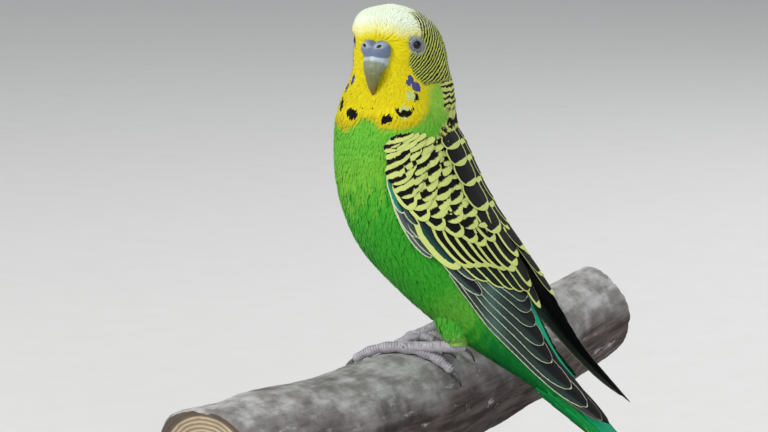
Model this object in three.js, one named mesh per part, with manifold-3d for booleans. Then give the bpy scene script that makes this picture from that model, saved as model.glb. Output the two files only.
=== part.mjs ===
// A life-size budgerigar perched on a cut length of branch, held up by a plain display stand.
// Millimetres, +Z up. The bird faces -Y and its left side is +X. The origin is the middle of the
// stand's underside. The head is turned to the bird's left, and the wings are folded.
import * as THREE from "three";
import { mergeVertices } from "three/addons/utils/BufferGeometryUtils.js";
import Module from "manifold-3d";

const wasm = await Module();
wasm.setup();

// Driving sizes
const GAP = 0.3; // left between touching pieces
const PERCH_TOP = 71; // height of the branch under the feet
const HEAD_TURN = 75; // degrees, from the body's forward direction to the bird's left
const TAIL_LENGTH = 87; // from the rump to the tip of the central pair
const TAIL_DROP = 43; // degrees below the horizontal
const BASE_RADIUS = 58;
const BASE_HEIGHT = 8;
const ROD_RADIUS = 2.5;
const PERCH_RADIUS = 17.6; // under the feet
const PERCH_NEAR = 100; // length on the bird's left
const PERCH_FAR = 104; // length on the bird's right
const PERCH_YAW = 20; // degrees that the branch's left end is swung forward
const PERCH_SLANT = 2.7; // degrees that it falls towards that end
const PERCH_BEND = 5; // rise of its ends, 100 mm from its middle
const EYE_RADIUS = 2.3;
const BODY_SIDES = 32;

const X = 0, Y = 1, Z = 2;
const rad = THREE.MathUtils.degToRad;
const lerp = THREE.MathUtils.lerp;

// The body's cross-sections from the tail to the crown. y and z place the middle, with z above the
// perch; wide is the half-width, back and front the depths, and lean tips the section's plane.
const SECTIONS = [
  { name: "wing_tips", y: 61.0, z: -27.5, wide: 5.2, back: 2.2, front: 2.4, lean: 47 },
  { name: "tail_root", y: 49.5, z: -17.0, wide: 6.8, back: 3.2, front: 4.4, lean: 47 },
  { name: "rump", y: 36.6, z: -5.4, wide: 9.0, back: 5.2, front: 6.9, lean: 46 },
  { name: "vent", y: 26.8, z: 5.3, wide: 12.6, back: 9.0, front: 11.6, lean: 44 },
  { name: "loin", y: 18.4, z: 14.6, wide: 15.6, back: 12.7, front: 15.6, lean: 42 },
  { name: "belly", y: 8.3, z: 26.0, wide: 18.2, back: 16.0, front: 18.9, lean: 37 },
  { name: "keel", y: -2.4, z: 40.0, wide: 19.6, back: 18.6, front: 21.6, lean: 30 },
  { name: "breast", y: -8.4, z: 54.5, wide: 19.6, back: 19.2, front: 21.6, lean: 24 },
  { name: "shoulder", y: -10.4, z: 66.0, wide: 18.6, back: 18.5, front: 19.8, lean: 16 },
  { name: "throat", y: -9.8, z: 75.2, wide: 16.6, back: 16.9, front: 18.2, lean: 8 },
  { name: "jaw", y: -9.3, z: 82.5, wide: 14.3, back: 14.6, front: 14.5, lean: 2 },
  { name: "face", y: -9.5, z: 90.0, wide: 14.0, back: 13.5, front: 13.9, lean: 0 },
  { name: "brow", y: -10.4, z: 96.0, wide: 12.3, back: 11.3, front: 13.1, lean: 0 },
  { name: "crown", y: -11.8, z: 100.4, wide: 8.0, back: 6.9, front: 8.8, lean: 0 },
  { name: "top", y: -12.2, z: 102.4, wide: 0.8, back: 0.8, front: 0.8, lean: 0 },
];
const section = Object.fromEntries(SECTIONS.map((row, i) => [row.name, i]));
const NECK_FROM = section.shoulder;
const NECK_TO = section.throat + 0.15;

// One smooth value of a column of SECTIONS at k, a section's number with its fraction.
function blended(k, key) {
  const last = SECTIONS.length - 1;
  const i = Math.min(Math.max(Math.floor(k), 0), last - 1);
  const t = k - i;
  const [a, b, c, d] = [i - 1, i, i + 1, i + 2].map((j) => SECTIONS[Math.min(Math.max(j, 0), last)][key]);
  const [m, n] = [(c - a) / 2, (d - b) / 2];
  const [t2, t3] = [t * t, t * t * t];
  return (2 * t3 - 3 * t2 + 1) * b + (t3 - 2 * t2 + t) * m + (3 * t2 - 2 * t3) * c + (t3 - t2) * n;
}

// A point of the body's skin, lifted off it. turn is in degrees: 0 the back, 90 the left, 180 the front.
function skin(k, turn, lift = 0) {
  const [s, c] = [Math.sin(rad(turn)), Math.cos(rad(turn))];
  const lean = rad(blended(k, "lean"));
  const depth = c * (blended(k, c > 0 ? "back" : "front") + lift);
  return [
    s * (blended(k, "wide") + lift),
    blended(k, "y") + depth * Math.cos(lean),
    PERCH_TOP + blended(k, "z") + depth * Math.sin(lean),
  ];
}

const plus = (a, b, scale = 1) => a.map((v, i) => v + b[i] * scale);
const minus = (a, b) => plus(a, b, -1);
const cross = (a, b) => [a[Y] * b[Z] - a[Z] * b[Y], a[Z] * b[X] - a[X] * b[Z], a[X] * b[Y] - a[Y] * b[X]];
const length = (a) => Math.hypot(...a);
const unit = (a) => a.map((v) => v / length(a));
const mix = (a, b, t) => a.map((v, i) => lerp(v, b[i], t));

// A three.js geometry as a solid for joining and cutting.
function solid(geometry) {
  const bare = geometry.clone();
  for (const name of ["normal", "uv"]) bare.deleteAttribute(name);
  const merged = mergeVertices(bare, 1e-4);
  return new wasm.Manifold(
    new wasm.Mesh({
      numProp: 3,
      vertProperties: new Float32Array(merged.attributes.position.array),
      triVerts: new Uint32Array(merged.index.array),
    }),
  );
}

// The largest closed surface of a solid, as a three.js geometry.
function geometryOf(made) {
  const pieces = made.decompose().sort((a, b) => b.volume() - a.volume());
  const mesh = pieces[0].getMesh();
  return new THREE.BufferGeometry()
    .setAttribute("position", new THREE.BufferAttribute(mesh.vertProperties, 3))
    .setIndex(new THREE.BufferAttribute(mesh.triVerts, 1));
}

// A closed geometry from points and triangles.
function closed(points, triangles) {
  return new THREE.BufferGeometry()
    .setAttribute("position", new THREE.Float32BufferAttribute(points.flat(), 3))
    .setIndex(triangles.flat());
}

// A loft: rings of equal count from first to last, closed by a fan at each end. The rings run
// anticlockwise as seen from the last ring.
function loft(rings) {
  const n = rings[0].length;
  const middles = [rings[0], rings.at(-1)].map((ring) => ring.reduce((a, b) => plus(a, b)).map((v) => v / n));
  const points = [...rings.flat(), ...middles];
  const [first, last] = [points.length - 2, points.length - 1];
  const top = (rings.length - 1) * n;
  const triangles = [];
  for (let j = 0; j < n; j++) {
    const next = (j + 1) % n;
    for (let i = 0; i < top; i += n) {
      triangles.push([i + j, i + next, i + n + next], [i + j, i + n + next, i + n + j]);
    }
    triangles.push([first, next, j], [last, top + j, top + next]);
  }
  return closed(points, triangles);
}

// A length of the body between two places along it.
function bodyLength(from, to, rings, lift = 0) {
  const made = [];
  for (let i = 0; i <= rings; i++) {
    const k = lerp(from, to, i / rings);
    made.push(Array.from({ length: BODY_SIDES }, (_, j) => skin(k, (-360 * j) / BODY_SIDES, lift)));
  }
  return loft(made);
}

// A round limb through points, with a radius at each. across is the hint for the ring's first corner.
function limb(points, radii, sides = 8, across = [1, 0, 0.01], flat = 1) {
  const rings = points.map((p, i) => {
    const along = unit(minus(points[Math.min(i + 1, points.length - 1)], points[Math.max(i - 1, 0)]));
    const side = unit(minus(across, along.map((v) => v * across.reduce((sum, w, q) => sum + w * along[q], 0))));
    const up = cross(along, side);
    return Array.from({ length: sides }, (_, j) => {
      const angle = (2 * Math.PI * j) / sides;
      return plus(plus(p, side, radii[i] * Math.cos(angle)), up, radii[i] * flat * Math.sin(angle));
    });
  });
  return loft(rings);
}

function ball(centre, radii, wide = 16, high = 10) {
  return new THREE.SphereGeometry(1, wide, high).scale(...radii).translate(...centre);
}

// Cuts and joins
const joined = (parts) => wasm.Manifold.union(parts);
const mirrored = (geometry) => {
  const copy = geometry.clone().scale(-1, 1, 1);
  const index = copy.index.array;
  for (let i = 0; i < index.length; i += 3) [index[i + 1], index[i + 2]] = [index[i + 2], index[i + 1]];
  return copy;
};

// The branch: its own directions, and points on or over its bark
const perchAlong = [
  Math.cos(rad(PERCH_YAW)) * Math.cos(rad(PERCH_SLANT)),
  -Math.sin(rad(PERCH_YAW)) * Math.cos(rad(PERCH_SLANT)),
  -Math.sin(rad(PERCH_SLANT)),
];
const perchFront = [-Math.sin(rad(PERCH_YAW)), -Math.cos(rad(PERCH_YAW)), 0];
const perchUp = unit(cross(perchFront, perchAlong));
const perchMiddle = [0, -4.8, PERCH_TOP - 0.6 - PERCH_RADIUS];
const SMOOTH_LENGTH = 20; // no lumps within this distance of the middle, where the feet stand

function perchRadius(s, around) {
  const lumpy = THREE.MathUtils.smoothstep(Math.abs(s), SMOOTH_LENGTH, SMOOTH_LENGTH + 22);
  const a = rad(around);
  const lumps = 0.45 * Math.sin(3 * a + s / 9) + 0.35 * Math.sin(2 * a - s / 13 + 1) + 0.3 * Math.sin(5 * a + s / 6);
  const taper = s > 0 ? 0.012 : 0.026;
  return PERCH_RADIUS + taper * s + lumpy * lumps;
}

// around is in degrees from the top, positive towards the bird's front.
function perchPoint(s, around, lift = 0) {
  const r = perchRadius(s, around) + lift;
  const middle = plus(plus(perchMiddle, perchAlong, s), perchUp, PERCH_BEND * (s / 100) ** 2);
  return plus(plus(middle, perchUp, r * Math.cos(rad(around))), perchFront, r * Math.sin(rad(around)));
}

function perchShape(lift = 0, ends = 0) {
  const [sides, rings, bevel] = [22, 16, 0.8];
  const made = [];
  for (let i = 0; i <= rings; i++) {
    const s = lerp(-PERCH_FAR - ends, PERCH_NEAR + ends, i / rings);
    const trim = i === 0 || i === rings ? -bevel : 0;
    made.push(Array.from({ length: sides }, (_, j) => perchPoint(s, (360 * j) / sides, lift + trim)));
  }
  return loft(made);
}

// The head's own frame: forward, left and up, from its middle at eye height
const headMiddle = [0, blended(section.face, "y"), PERCH_TOP + blended(section.face, "z")];
const headForward = [Math.sin(rad(HEAD_TURN)), -Math.cos(rad(HEAD_TURN)), 0];
const headLeft = [Math.cos(rad(HEAD_TURN)), Math.sin(rad(HEAD_TURN)), 0];
const inHead = (forward, left, up) =>
  plus(plus(headMiddle, headForward, forward), headLeft, left).map((v, i) => (i === Z ? v + up : v));

// An ellipsoid with its axes in the head's frame.
function headBall(at, radii, wide = 16, high = 10) {
  const basis = new THREE.Matrix4().makeBasis(
    new THREE.Vector3(...headForward),
    new THREE.Vector3(...headLeft),
    new THREE.Vector3(0, 0, 1),
  );
  const made = new THREE.SphereGeometry(1, wide, high).rotateX(Math.PI / 2).scale(...radii);
  return made.applyMatrix4(basis).translate(...inHead(...at));
}

// The cere: two swollen lobes over a band, with a nostril in each lobe.
function cereShape(grow = 0) {
  const parts = [
    headBall([13.4, 0, -1.0], [3.1 + grow, 4.7 + grow, 2.7 + grow], 12, 6),
    ...[-1, 1].map((side) => headBall([14.1, side * 1.95, 0.9], [2.9 + grow, 2.8 + grow, 2.4 + grow], 11, 7)),
  ];
  return joined(parts.map(solid));
}

function nostril(side) {
  return limb([inHead(14.8, side * 2.3, 1.5), inHead(18, side * 2.9, 2.4)], [0.72, 0.72], 8, headLeft, 0.6);
}

// The bill: the upper half hooks down in front of the small lower scoop. A path's points are
// [forward, up] in the head's middle plane.
function billShape(path, wide, flat, grow = 0) {
  const points = path.map(([forward, up]) => inHead(forward, 0, up));
  return limb(points, wide.map((w) => w + grow), 12, headLeft, flat);
}
const upperBill = (grow = 0) =>
  billShape(
    [[12.4, -1.9], [13.9, -3.4], [14.9, -5.1], [15.6, -7.1], [15.9, -9.1], [15.9, -11.1], [15.6, -12.9]],
    [4.0, 3.85, 3.35, 2.6, 1.85, 1.1, 0.35],
    0.76,
    grow,
  );
const lowerBill = (grow = 0) =>
  billShape([[10.2, -6.2], [11.8, -7.4], [13.0, -8.8], [13.8, -10.2]], [2.6, 2.3, 1.8, 0.9], 0.6, grow);

// Eyes and the bare rings of lid round them
const EYE_TURN = 52; // degrees from the bill to each eye
const EYE_UP = 1.7;
const EYE_DEPTH = 11.4;
function eyeCentre(side) {
  return inHead(EYE_DEPTH * Math.cos(rad(EYE_TURN)), side * EYE_DEPTH * Math.sin(rad(EYE_TURN)), EYE_UP);
}
function lid(side) {
  const ring = new THREE.TorusGeometry(1.8, 0.5, 5, 12);
  const out = unit(minus(eyeCentre(side), [headMiddle[X], headMiddle[Y], headMiddle[Z] + EYE_UP]));
  const turn = new THREE.Quaternion().setFromUnitVectors(new THREE.Vector3(0, 0, 1), new THREE.Vector3(...out));
  return ring.applyQuaternion(turn).translate(...plus(eyeCentre(side), out, 1.55));
}

// One feather as a thin closed vane that follows the body. root and tip are [k, turn] on the skin,
// lift is the height of its underside at root and tip, bow bends its middle line sideways, and tilt
// raises its outer edge, which lies over its neighbour, towards the tip.
const VANE_THICK = 0.5;
function vane({ root, tip, wide, lift, rows = 4, bow = 0, tilt = 0.3 }) {
  const middle = (f) => {
    const [k, turn] = mix(root, tip, f);
    return [k, turn + bow * Math.sin(Math.PI * f)];
  };
  const half = (f) => {
    const opening = lerp(0.6, 1, Math.min(1, f / 0.4));
    const end = f > 0.72 ? Math.sqrt(Math.max(0, 1 - ((f - 0.72) / 0.28) ** 2)) : 1;
    return 0.5 * wide * opening * Math.max(end, 0.4);
  };
  const [under, over] = [[], []];
  for (let i = 0; i <= rows; i++) {
    const f = 1 - (1 - i / rows) ** 1.3;
    const [k, turn] = middle(f);
    const perK = length(minus(skin(k + 0.05, turn), skin(k - 0.05, turn))) / 0.1;
    const perTurn = length(minus(skin(k, turn + 1), skin(k, turn - 1))) / 2;
    const [next, before] = [middle(Math.min(1, f + 0.02)), middle(Math.max(0, f - 0.02))];
    const run = unit([(next[0] - before[0]) * perK, (next[1] - before[1]) * perTurn]);
    const thick = VANE_THICK * (i === rows ? 0.6 : 1);
    for (const e of [-1, 0, 1]) {
      const reach = e * half(f) * (i === rows ? 0.5 : 1);
      const at = [k - (run[1] * reach) / perK, turn + (run[0] * reach) / perTurn];
      const height = lerp(lift[0], lift[1], f) - tilt * e * f - 0.1 * e * e;
      under.push(skin(...at, height));
      over.push(skin(...at, height + thick));
    }
  }
  return slab(under, over, rows + 1, 3);
}

// A closed slab between two grids of the same size, split into triangles alike on both faces.
function slab(under, over, rows, columns) {
  const points = [...under, ...over];
  const shift = rows * columns;
  const triangles = [];
  const quad = (a, b, c, d) => triangles.push([a, b, c], [a, c, d]);
  for (let i = 0; i < rows - 1; i++) {
    for (let j = 0; j < columns - 1; j++) {
      const [a, b] = [i * columns + j, (i + 1) * columns + j];
      quad(shift + a, shift + b, shift + b + 1, shift + a + 1);
      triangles.push([b + 1, b, a], [a + 1, b + 1, a]);
    }
    const [l, m] = [i * columns, (i + 1) * columns];
    const [r, s] = [l + columns - 1, m + columns - 1];
    quad(shift + l, l, m, shift + m);
    quad(r, shift + r, shift + s, s);
  }
  for (let j = 0; j < columns - 1; j++) {
    const end = (rows - 1) * columns + j;
    quad(j, shift + j, shift + j + 1, j + 1);
    quad(shift + end, end, end + 1, shift + end + 1);
  }
  const made = closed(points, triangles);
  return solid(made).volume() > 0 ? made : closed(points, triangles.map(([a, b, c]) => [a, c, b]));
}

// A tier of like feathers, from the outermost to the innermost. Each of its ranges is [outer, inner].
function tier({ count, tips, back, turned = [0, 0], wide, root, lift, bow = [0, 0], rows, tilt }) {
  return Array.from({ length: count }, (_, i) => {
    const t = i / (count - 1);
    const along = t * (tips.length - 1);
    const j = Math.min(Math.floor(along), tips.length - 2);
    const tip = mix(tips[j], tips[j + 1], along - j);
    const start = [tip[0] + lerp(...back, t), tip[1] + lerp(...turned, t)];
    const lifts = [lerp(...root, t), lerp(...lift, t)];
    return vane({ root: start, tip, wide: lerp(...wide, t), lift: lifts, bow: lerp(...bow, t), rows, tilt });
  });
}

// The folded left wing. A pad over the arm carries tiers of feathers, each tier over the next one
// down. Tips are [k, turn] places on the skin, from the wing's outer edge to its inner edge.
const WING_TIERS = {
  primaries: {
    count: 7, tips: [[0.8, 56], [1.3, 58], [1.8, 55], [2.2, 50], [2.6, 46], [2.95, 41], [3.3, 35]],
    back: [4.1, 1.7], turned: [22, 6], wide: [6.2, 6.6], root: [0.9, 1.2], lift: [0.95, 1.5],
    bow: [11, 2], rows: 4, tilt: 0.35,
  },
  secondaries: {
    count: 5, tips: [[4.85, 79], [4.45, 64], [3.9, 48], [3.5, 30]], back: [0.9, 1.5], wide: [5.6, 7.4],
    root: [1.2, 1.4], lift: [1.6, 2.0], rows: 3, tilt: 0.35,
  },
  tertials: {
    count: 3, tips: [[2.9, 17], [3.9, 14]], back: [1.9, 1.4], wide: [7.4, 7.0], root: [1.4, 1.6],
    lift: [2.0, 2.6], rows: 3, tilt: 0.2,
  },
  primaryCoverts: {
    count: 3, tips: [[4.9, 84], [6.0, 85]], back: [1.6, 1.1], wide: [4.4, 4.6], root: [0.9, 1.1],
    lift: [1.5, 1.8], rows: 3, tilt: 0.1,
  },
  greaterCoverts: {
    count: 5, tips: [[6.0, 77], [5.45, 62], [4.95, 46], [4.5, 24]], back: [0.9, 1.1], wide: [6.0, 7.4],
    root: [1.2, 1.4], lift: [2.0, 2.5], rows: 3, tilt: 0.35,
  },
  medianCoverts: {
    count: 4, tips: [[6.5, 74], [5.95, 54], [5.2, 28]], back: [0.75, 0.8], wide: [6.4, 8.0],
    root: [1.3, 1.4], lift: [2.3, 2.7], rows: 3, tilt: 0.3,
  },
};
const PAD_END = 4.6;
const LEADING_EDGE = [[7.7, 72], [7.3, 82], [6.6, 86], [4.6, 84]];
const INNER_EDGE = [[7.62, 14], [6.9, 8], [5.6, 5], [4.6, 12]];

// The turn of an edge at k, along straight stretches.
function edgeTurn(edge, k) {
  const i = Math.min(Math.max(edge.findIndex((at) => at[0] <= k), 1), edge.length - 1);
  const [from, to] = [edge[i - 1], edge[i]];
  return lerp(from[1], to[1], (k - from[0]) / (to[0] - from[0]));
}

function wingPad() {
  const [rows, columns] = [8, 5];
  const [under, over] = [[], []];
  for (let i = 0; i < rows; i++) {
    for (let j = 0; j < columns; j++) {
      const across = j / (columns - 1);
      const top = lerp(6.9, 7.68, Math.sin((Math.PI / 2) * across) ** 0.8);
      const k = lerp(top, PAD_END, i / (rows - 1));
      const turn = lerp(edgeTurn(INNER_EDGE, k), edgeTurn(LEADING_EDGE, k), across);
      const inside = Math.min(i, 2) / 2 * Math.min(rows - 1 - i, 1) * Math.sin(Math.PI * across) ** 0.4;
      under.push(skin(k, turn, 0.5));
      over.push(skin(k, turn, lerp(1.0, 2.0, inside)));
    }
  }
  return slab(under, over, rows, columns);
}

function leftWing() {
  const feathers = Object.values(WING_TIERS).flatMap(tier);
  return geometryOf(joined([wingPad(), ...feathers].map(solid)));
}

// The right wing is held looser than the left: behind the shoulder it stands off the back and out.
const SPREAD = [-5, 3.5, 3.3];
const SPREAD_LENGTH = 51;
function loosened(geometry) {
  const [from, tip] = [skin(5.5, 0), skin(section.wing_tips, 0)];
  const back = unit(minus(tip, from));
  const at = geometry.attributes.position;
  for (let i = 0; i < at.count; i++) {
    const p = [at.getX(i), at.getY(i), at.getZ(i)];
    const behind = minus(p, from).reduce((sum, v, q) => sum + v * back[q], 0);
    at.setXYZ(i, ...plus(p, SPREAD, THREE.MathUtils.smoothstep(behind, 0, SPREAD_LENGTH)));
  }
  return geometry;
}

// The tail: six pairs of graduated feathers under a coverts block, stacked and slightly fanned
const tailAlong = [0, Math.cos(rad(TAIL_DROP)), -Math.sin(rad(TAIL_DROP))];
const tailUp = [0, Math.sin(rad(TAIL_DROP)), Math.cos(rad(TAIL_DROP))];
const tailRoot = [0, blended(section.rump, "y") - 2.2, PERCH_TOP + blended(section.rump, "z") - 0.4];
const onTail = (along, side, up) => plus(plus(plus(tailRoot, tailAlong, along), [side, 0, 0]), tailUp, up);

const TAIL_PAIRS = 6;
function tailFeather(pair, side) {
  const reach = TAIL_LENGTH * [1, 0.89, 0.77, 0.66, 0.56, 0.47][pair];
  const [start, rows, wide] = [GAP + 4, 5, 5.4];
  const fan = Math.sin(rad(0.3 + 1.2 * pair));
  const [under, over] = [[], []];
  for (let i = 0; i <= rows; i++) {
    const f = i / rows;
    const along = lerp(start, reach, f);
    const half = 0.5 * wide * [0.8, 1, 1, 0.92, 0.68, 0.15][i];
    const thick = VANE_THICK * (i === rows ? 0.6 : 1);
    for (const e of [-1, 0, 1]) {
      const across = side * (1.2 + along * fan + e * half);
      const roof = 0.9 - 0.32 * pair - 0.12 * Math.abs(across) - 0.1 * e * e;
      under.push(onTail(along, across, roof));
      over.push(onTail(along, across, roof + thick));
    }
  }
  return slab(under, over, rows + 1, 3);
}

// The soft coverts that hide the feathers' roots above and below
function tailCoverts() {
  const [sides, rings] = [16, 6];
  return loft(
    Array.from({ length: rings + 1 }, (_, i) => {
      const f = 1 - i / rings;
      const wide = lerp(8.4, 4.4, f);
      const high = lerp(5.0, 1.3, f ** 0.7);
      const deep = lerp(6.2, 1.6, f ** 0.8);
      return Array.from({ length: sides }, (_, j) => {
        const [c, s] = [Math.cos((-2 * Math.PI * j) / sides), Math.sin((-2 * Math.PI * j) / sides)];
        return onTail(lerp(GAP, 0.42 * TAIL_LENGTH, f), wide * s, c > 0 ? c * high : c * deep);
      });
    }),
  );
}

function tail() {
  const pairs = Array.from({ length: TAIL_PAIRS }, (_, pair) => pair);
  const feathers = pairs.flatMap((pair) => [-1, 1].map((side) => tailFeather(pair, side)));
  return geometryOf(joined([tailCoverts(), ...feathers].map(solid)).subtract(tailCut()));
}

// A block that keeps the tail clear of the torso's end.
function tailCut() {
  const [k, tiny] = [section.rump, 0.001];
  const out = unit(minus(skin(k - tiny, 0), skin(k, 0)));
  const ring = (reach) =>
    Array.from({ length: 24 }, (_, j) => plus(skin(k, (-360 * j) / 24, 12), out, reach));
  return solid(loft([ring(GAP), ring(-14)]));
}

// Legs. Each foot stands along the branch from its middle and turn degrees round it from the top,
// and its heel is at a place of its own, with z above the perch.
const LEGS = {
  left: { word: "left", side: 1, along: 7.4, turn: -8, heel: [7.8, 10.6, 1.9] },
  right: { word: "right", side: -1, along: -8.6, turn: 10, heel: [-9.3, 7.2, 8.2] },
};
const ANKLE = [2.2, 2.2, 1.6];
const footMiddle = ({ along, turn }) => perchPoint(along, turn, 2.0);

// Toes, two forward and two back: from the foot's middle, along is how far each foot's toe ends
// towards the branch's left end, and around is how many degrees forward round it.
const TOES = [
  { name: "inner_front", along: { left: -2.2, right: 2.2 }, around: 37, thick: 1.15 },
  { name: "outer_front", along: { left: 6.0, right: -6.0 }, around: 47, thick: 1.4 },
  { name: "inner_back", along: { left: -9.6, right: 1.6 }, around: -20, thick: 1.1 },
  { name: "outer_back", along: { left: -6.2, right: -3.4 }, around: -42, thick: 1.35 },
];
const TOE_STEPS = 4;
const TOE_CURVE = 0.85; // below 1, a toe runs along the branch first and round it later
const BARK_GAP = GAP + 0.15;

function toe(one, { along, around, thick }, grow) {
  const steps = Array.from({ length: TOE_STEPS + 1 }, (_, i) => i / TOE_STEPS);
  const radii = steps.map((f, i) => thick * lerp(1.12, 0.92, f) * (i % 2 ? 1.05 : 0.97));
  const points = steps.map((f, i) =>
    perchPoint(one.along + along[one.word] * f ** TOE_CURVE, one.turn + around * f, radii[i] + BARK_GAP),
  );
  return limb(points, radii.map((r) => r + grow), 8, perchAlong);
}

function footShape(one, grow = 0) {
  const ankle = ball(footMiddle(one), ANKLE.map((r) => r + grow), 10, 6);
  return joined([ankle, ...TOES.map((each) => toe(one, each, grow))].map(solid));
}

// A feathered thigh that leaves the belly, and a bare shank that lies back from the foot
function leg(one) {
  const middle = footMiddle(one);
  const heel = [one.heel[X], one.heel[Y], PERCH_TOP + one.heel[Z]];
  const hip = plus(heel, [-0.4 * one.side, -1.0, 15]);
  const thigh = limb([hip, mix(hip, heel, 0.55), mix(hip, heel, 0.85), plus(heel, [0, 0, 0.6])], [5, 5, 3.4, 2.0], 10);
  const shank = limb([heel, mix(heel, middle, 0.5), middle], [1.9, 1.6, 1.7], 8);
  const cuts = [
    ...[bodyLength(section.rump, NECK_FROM, 18, GAP), perchShape(GAP, 1)].map(solid),
    footShape(one, GAP),
  ];
  return geometryOf(cuts.reduce((rest, piece) => rest.subtract(piece), joined([thigh, shank].map(solid))));
}

// A claw carries on the way its toe ends and curls down over the bark.
const CLAW_LENGTH = 5;
function claw(one, { along, around, thick }) {
  const steps = [0, 1 / 3, 2 / 3, 1];
  const radii = steps.map((f) => lerp(0.8, 0.28, f));
  const [way, down] = unit([TOE_CURVE * along[one.word], PERCH_RADIUS * rad(around)]);
  const points = steps.map((f, i) => {
    const reach = GAP + 0.15 + CLAW_LENGTH * f;
    const turned = one.turn + around + THREE.MathUtils.radToDeg((down * reach) / PERCH_RADIUS);
    const height = radii[i] + BARK_GAP + lerp(0.25 * thick, 0, f) + 0.6 * Math.sin(Math.PI * f);
    return perchPoint(one.along + along[one.word] + way * reach, turned, height);
  });
  return limb(points, radii, 7, perchAlong);
}

// The stand: a flat round base and two rods up to the branch
function standBase() {
  const bevel = 1.2;
  const profile = [
    [0, 0], [BASE_RADIUS - bevel / 2, 0], [BASE_RADIUS, bevel / 2], [BASE_RADIUS, BASE_HEIGHT - bevel],
    [BASE_RADIUS - bevel, BASE_HEIGHT], [0, BASE_HEIGHT],
  ].map(([r, z]) => new THREE.Vector2(r, z));
  return new THREE.LatheGeometry(profile, 40).rotateX(Math.PI / 2);
}
const ROD_ALONG = 34; // each rod's distance along the branch from its middle
function standRod(way) {
  const foot = plus(perchMiddle, perchAlong, way * ROD_ALONG);
  const bottom = BASE_HEIGHT + GAP;
  const tall = foot[Z] - PERCH_RADIUS / 2 - bottom;
  const rod = new THREE.CylinderGeometry(ROD_RADIUS, ROD_RADIUS, tall, 16).rotateX(Math.PI / 2);
  return geometryOf(solid(rod.translate(foot[X], foot[Y], bottom + tall / 2)).subtract(solid(perchShape(GAP, 1))));
}

// Materials
const finish = (color, roughness, metalness = 0) => new THREE.MeshStandardMaterial({ color, roughness, metalness });
const MATERIALS = {
  body: finish(0x4fb52c, 0.85),
  face: finish(0xe8d820, 0.85),
  wing: finish(0xb9c25a, 0.8),
  tail: finish(0x1f8f6a, 0.75),
  skin: finish(0xb3b1b5, 0.7),
  claw: finish(0x6f6a6c, 0.5),
  cere: finish(0x8fa3c8, 0.5),
  bill: finish(0x9a9a6c, 0.4),
  eye: finish(0x0a0a0c, 0.05),
  bark: finish(0x8d8880, 0.9),
  base: finish(0x3a2a1e, 0.5),
  rod: finish(0x9a9a9a, 0.35, 1),
};

const bird = new THREE.Group();
function add(name, geometry, material) {
  const mesh = new THREE.Mesh(geometry, MATERIALS[material]);
  mesh.name = name;
  bird.add(mesh);
}

// The body in three lengths, parted by thin gaps
const apart = (k) => GAP / length(minus(skin(k + 0.5, 90), skin(k - 0.5, 90)));
add("torso", bodyLength(section.rump, NECK_FROM - apart(NECK_FROM), 16), "body");
add("neck", bodyLength(NECK_FROM, NECK_TO, 4), "face");

const faceCuts = [
  cereShape(GAP),
  ...[upperBill(GAP), lowerBill(GAP)].map(solid),
  ...[-1, 1].map((side) => solid(ball(eyeCentre(side), Array(3).fill(EYE_RADIUS + GAP), 12, 7))),
];
const headWhole = joined([bodyLength(NECK_TO + apart(NECK_TO), section.top, 11), lid(1), lid(-1)].map(solid));
add("head", geometryOf(faceCuts.reduce((rest, piece) => rest.subtract(piece), headWhole)), "face");

const nostrils = [-1, 1].map((side) => solid(nostril(side)));
const cere = [solid(upperBill(GAP)), ...nostrils].reduce((rest, piece) => rest.subtract(piece), cereShape());
add("cere", geometryOf(cere), "cere");
add("bill_upper", upperBill(), "bill");
add("bill_lower", geometryOf(solid(lowerBill()).subtract(solid(upperBill(GAP)))), "bill");
add("eye_left", ball(eyeCentre(1), Array(3).fill(EYE_RADIUS), 14, 8), "eye");
add("eye_right", ball(eyeCentre(-1), Array(3).fill(EYE_RADIUS), 14, 8), "eye");

const wing = leftWing();
add("wing_left", wing, "wing");
add("wing_right", loosened(mirrored(wing)), "wing");
add("tail", tail(), "tail");

for (const [word, one] of Object.entries(LEGS)) {
  add("leg_" + word, leg(one), "skin");
  add("foot_" + word, geometryOf(footShape(one)), "skin");
  for (const each of TOES) add("claw_" + word + "_" + each.name, claw(one, each), "claw");
}

add("perch", perchShape(), "bark");
add("stand_base", geometryOf(solid(standBase())), "base");
add("stand_rod_near", standRod(1), "rod");
add("stand_rod_far", standRod(-1), "rod");

export default bird;
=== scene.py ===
"""A still, life-size budgerigar on a cut length of branch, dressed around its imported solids.

Sizes are in millimetres until mesh() turns them into metres. The bird faces -Y, its left side is
+X, and its head is turned to its left.
"""

import math

import bpy
import numpy as np
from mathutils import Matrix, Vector
from mathutils.bvhtree import BVHTree


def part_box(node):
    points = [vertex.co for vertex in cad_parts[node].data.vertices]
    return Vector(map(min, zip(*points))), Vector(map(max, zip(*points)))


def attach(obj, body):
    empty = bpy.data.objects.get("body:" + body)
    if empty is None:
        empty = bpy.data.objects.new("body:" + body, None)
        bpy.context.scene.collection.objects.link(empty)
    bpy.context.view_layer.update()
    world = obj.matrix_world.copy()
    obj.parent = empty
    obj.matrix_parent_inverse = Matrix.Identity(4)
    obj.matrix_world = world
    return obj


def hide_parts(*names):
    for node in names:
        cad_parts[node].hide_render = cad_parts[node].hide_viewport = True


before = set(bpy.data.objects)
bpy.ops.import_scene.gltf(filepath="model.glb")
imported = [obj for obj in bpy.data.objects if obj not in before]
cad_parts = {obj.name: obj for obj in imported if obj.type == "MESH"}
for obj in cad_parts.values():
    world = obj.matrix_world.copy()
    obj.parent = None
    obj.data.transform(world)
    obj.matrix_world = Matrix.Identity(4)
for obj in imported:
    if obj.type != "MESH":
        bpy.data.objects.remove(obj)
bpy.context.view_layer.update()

# Main sizes in mm and angles in degrees. GAP is what stays free between a toe and its claw.
MM = 0.001
GAP = 0.3
PERCH_TOP = 71.0
HEAD_TURN = 75.0
TAIL_LENGTH = 87.0
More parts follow.
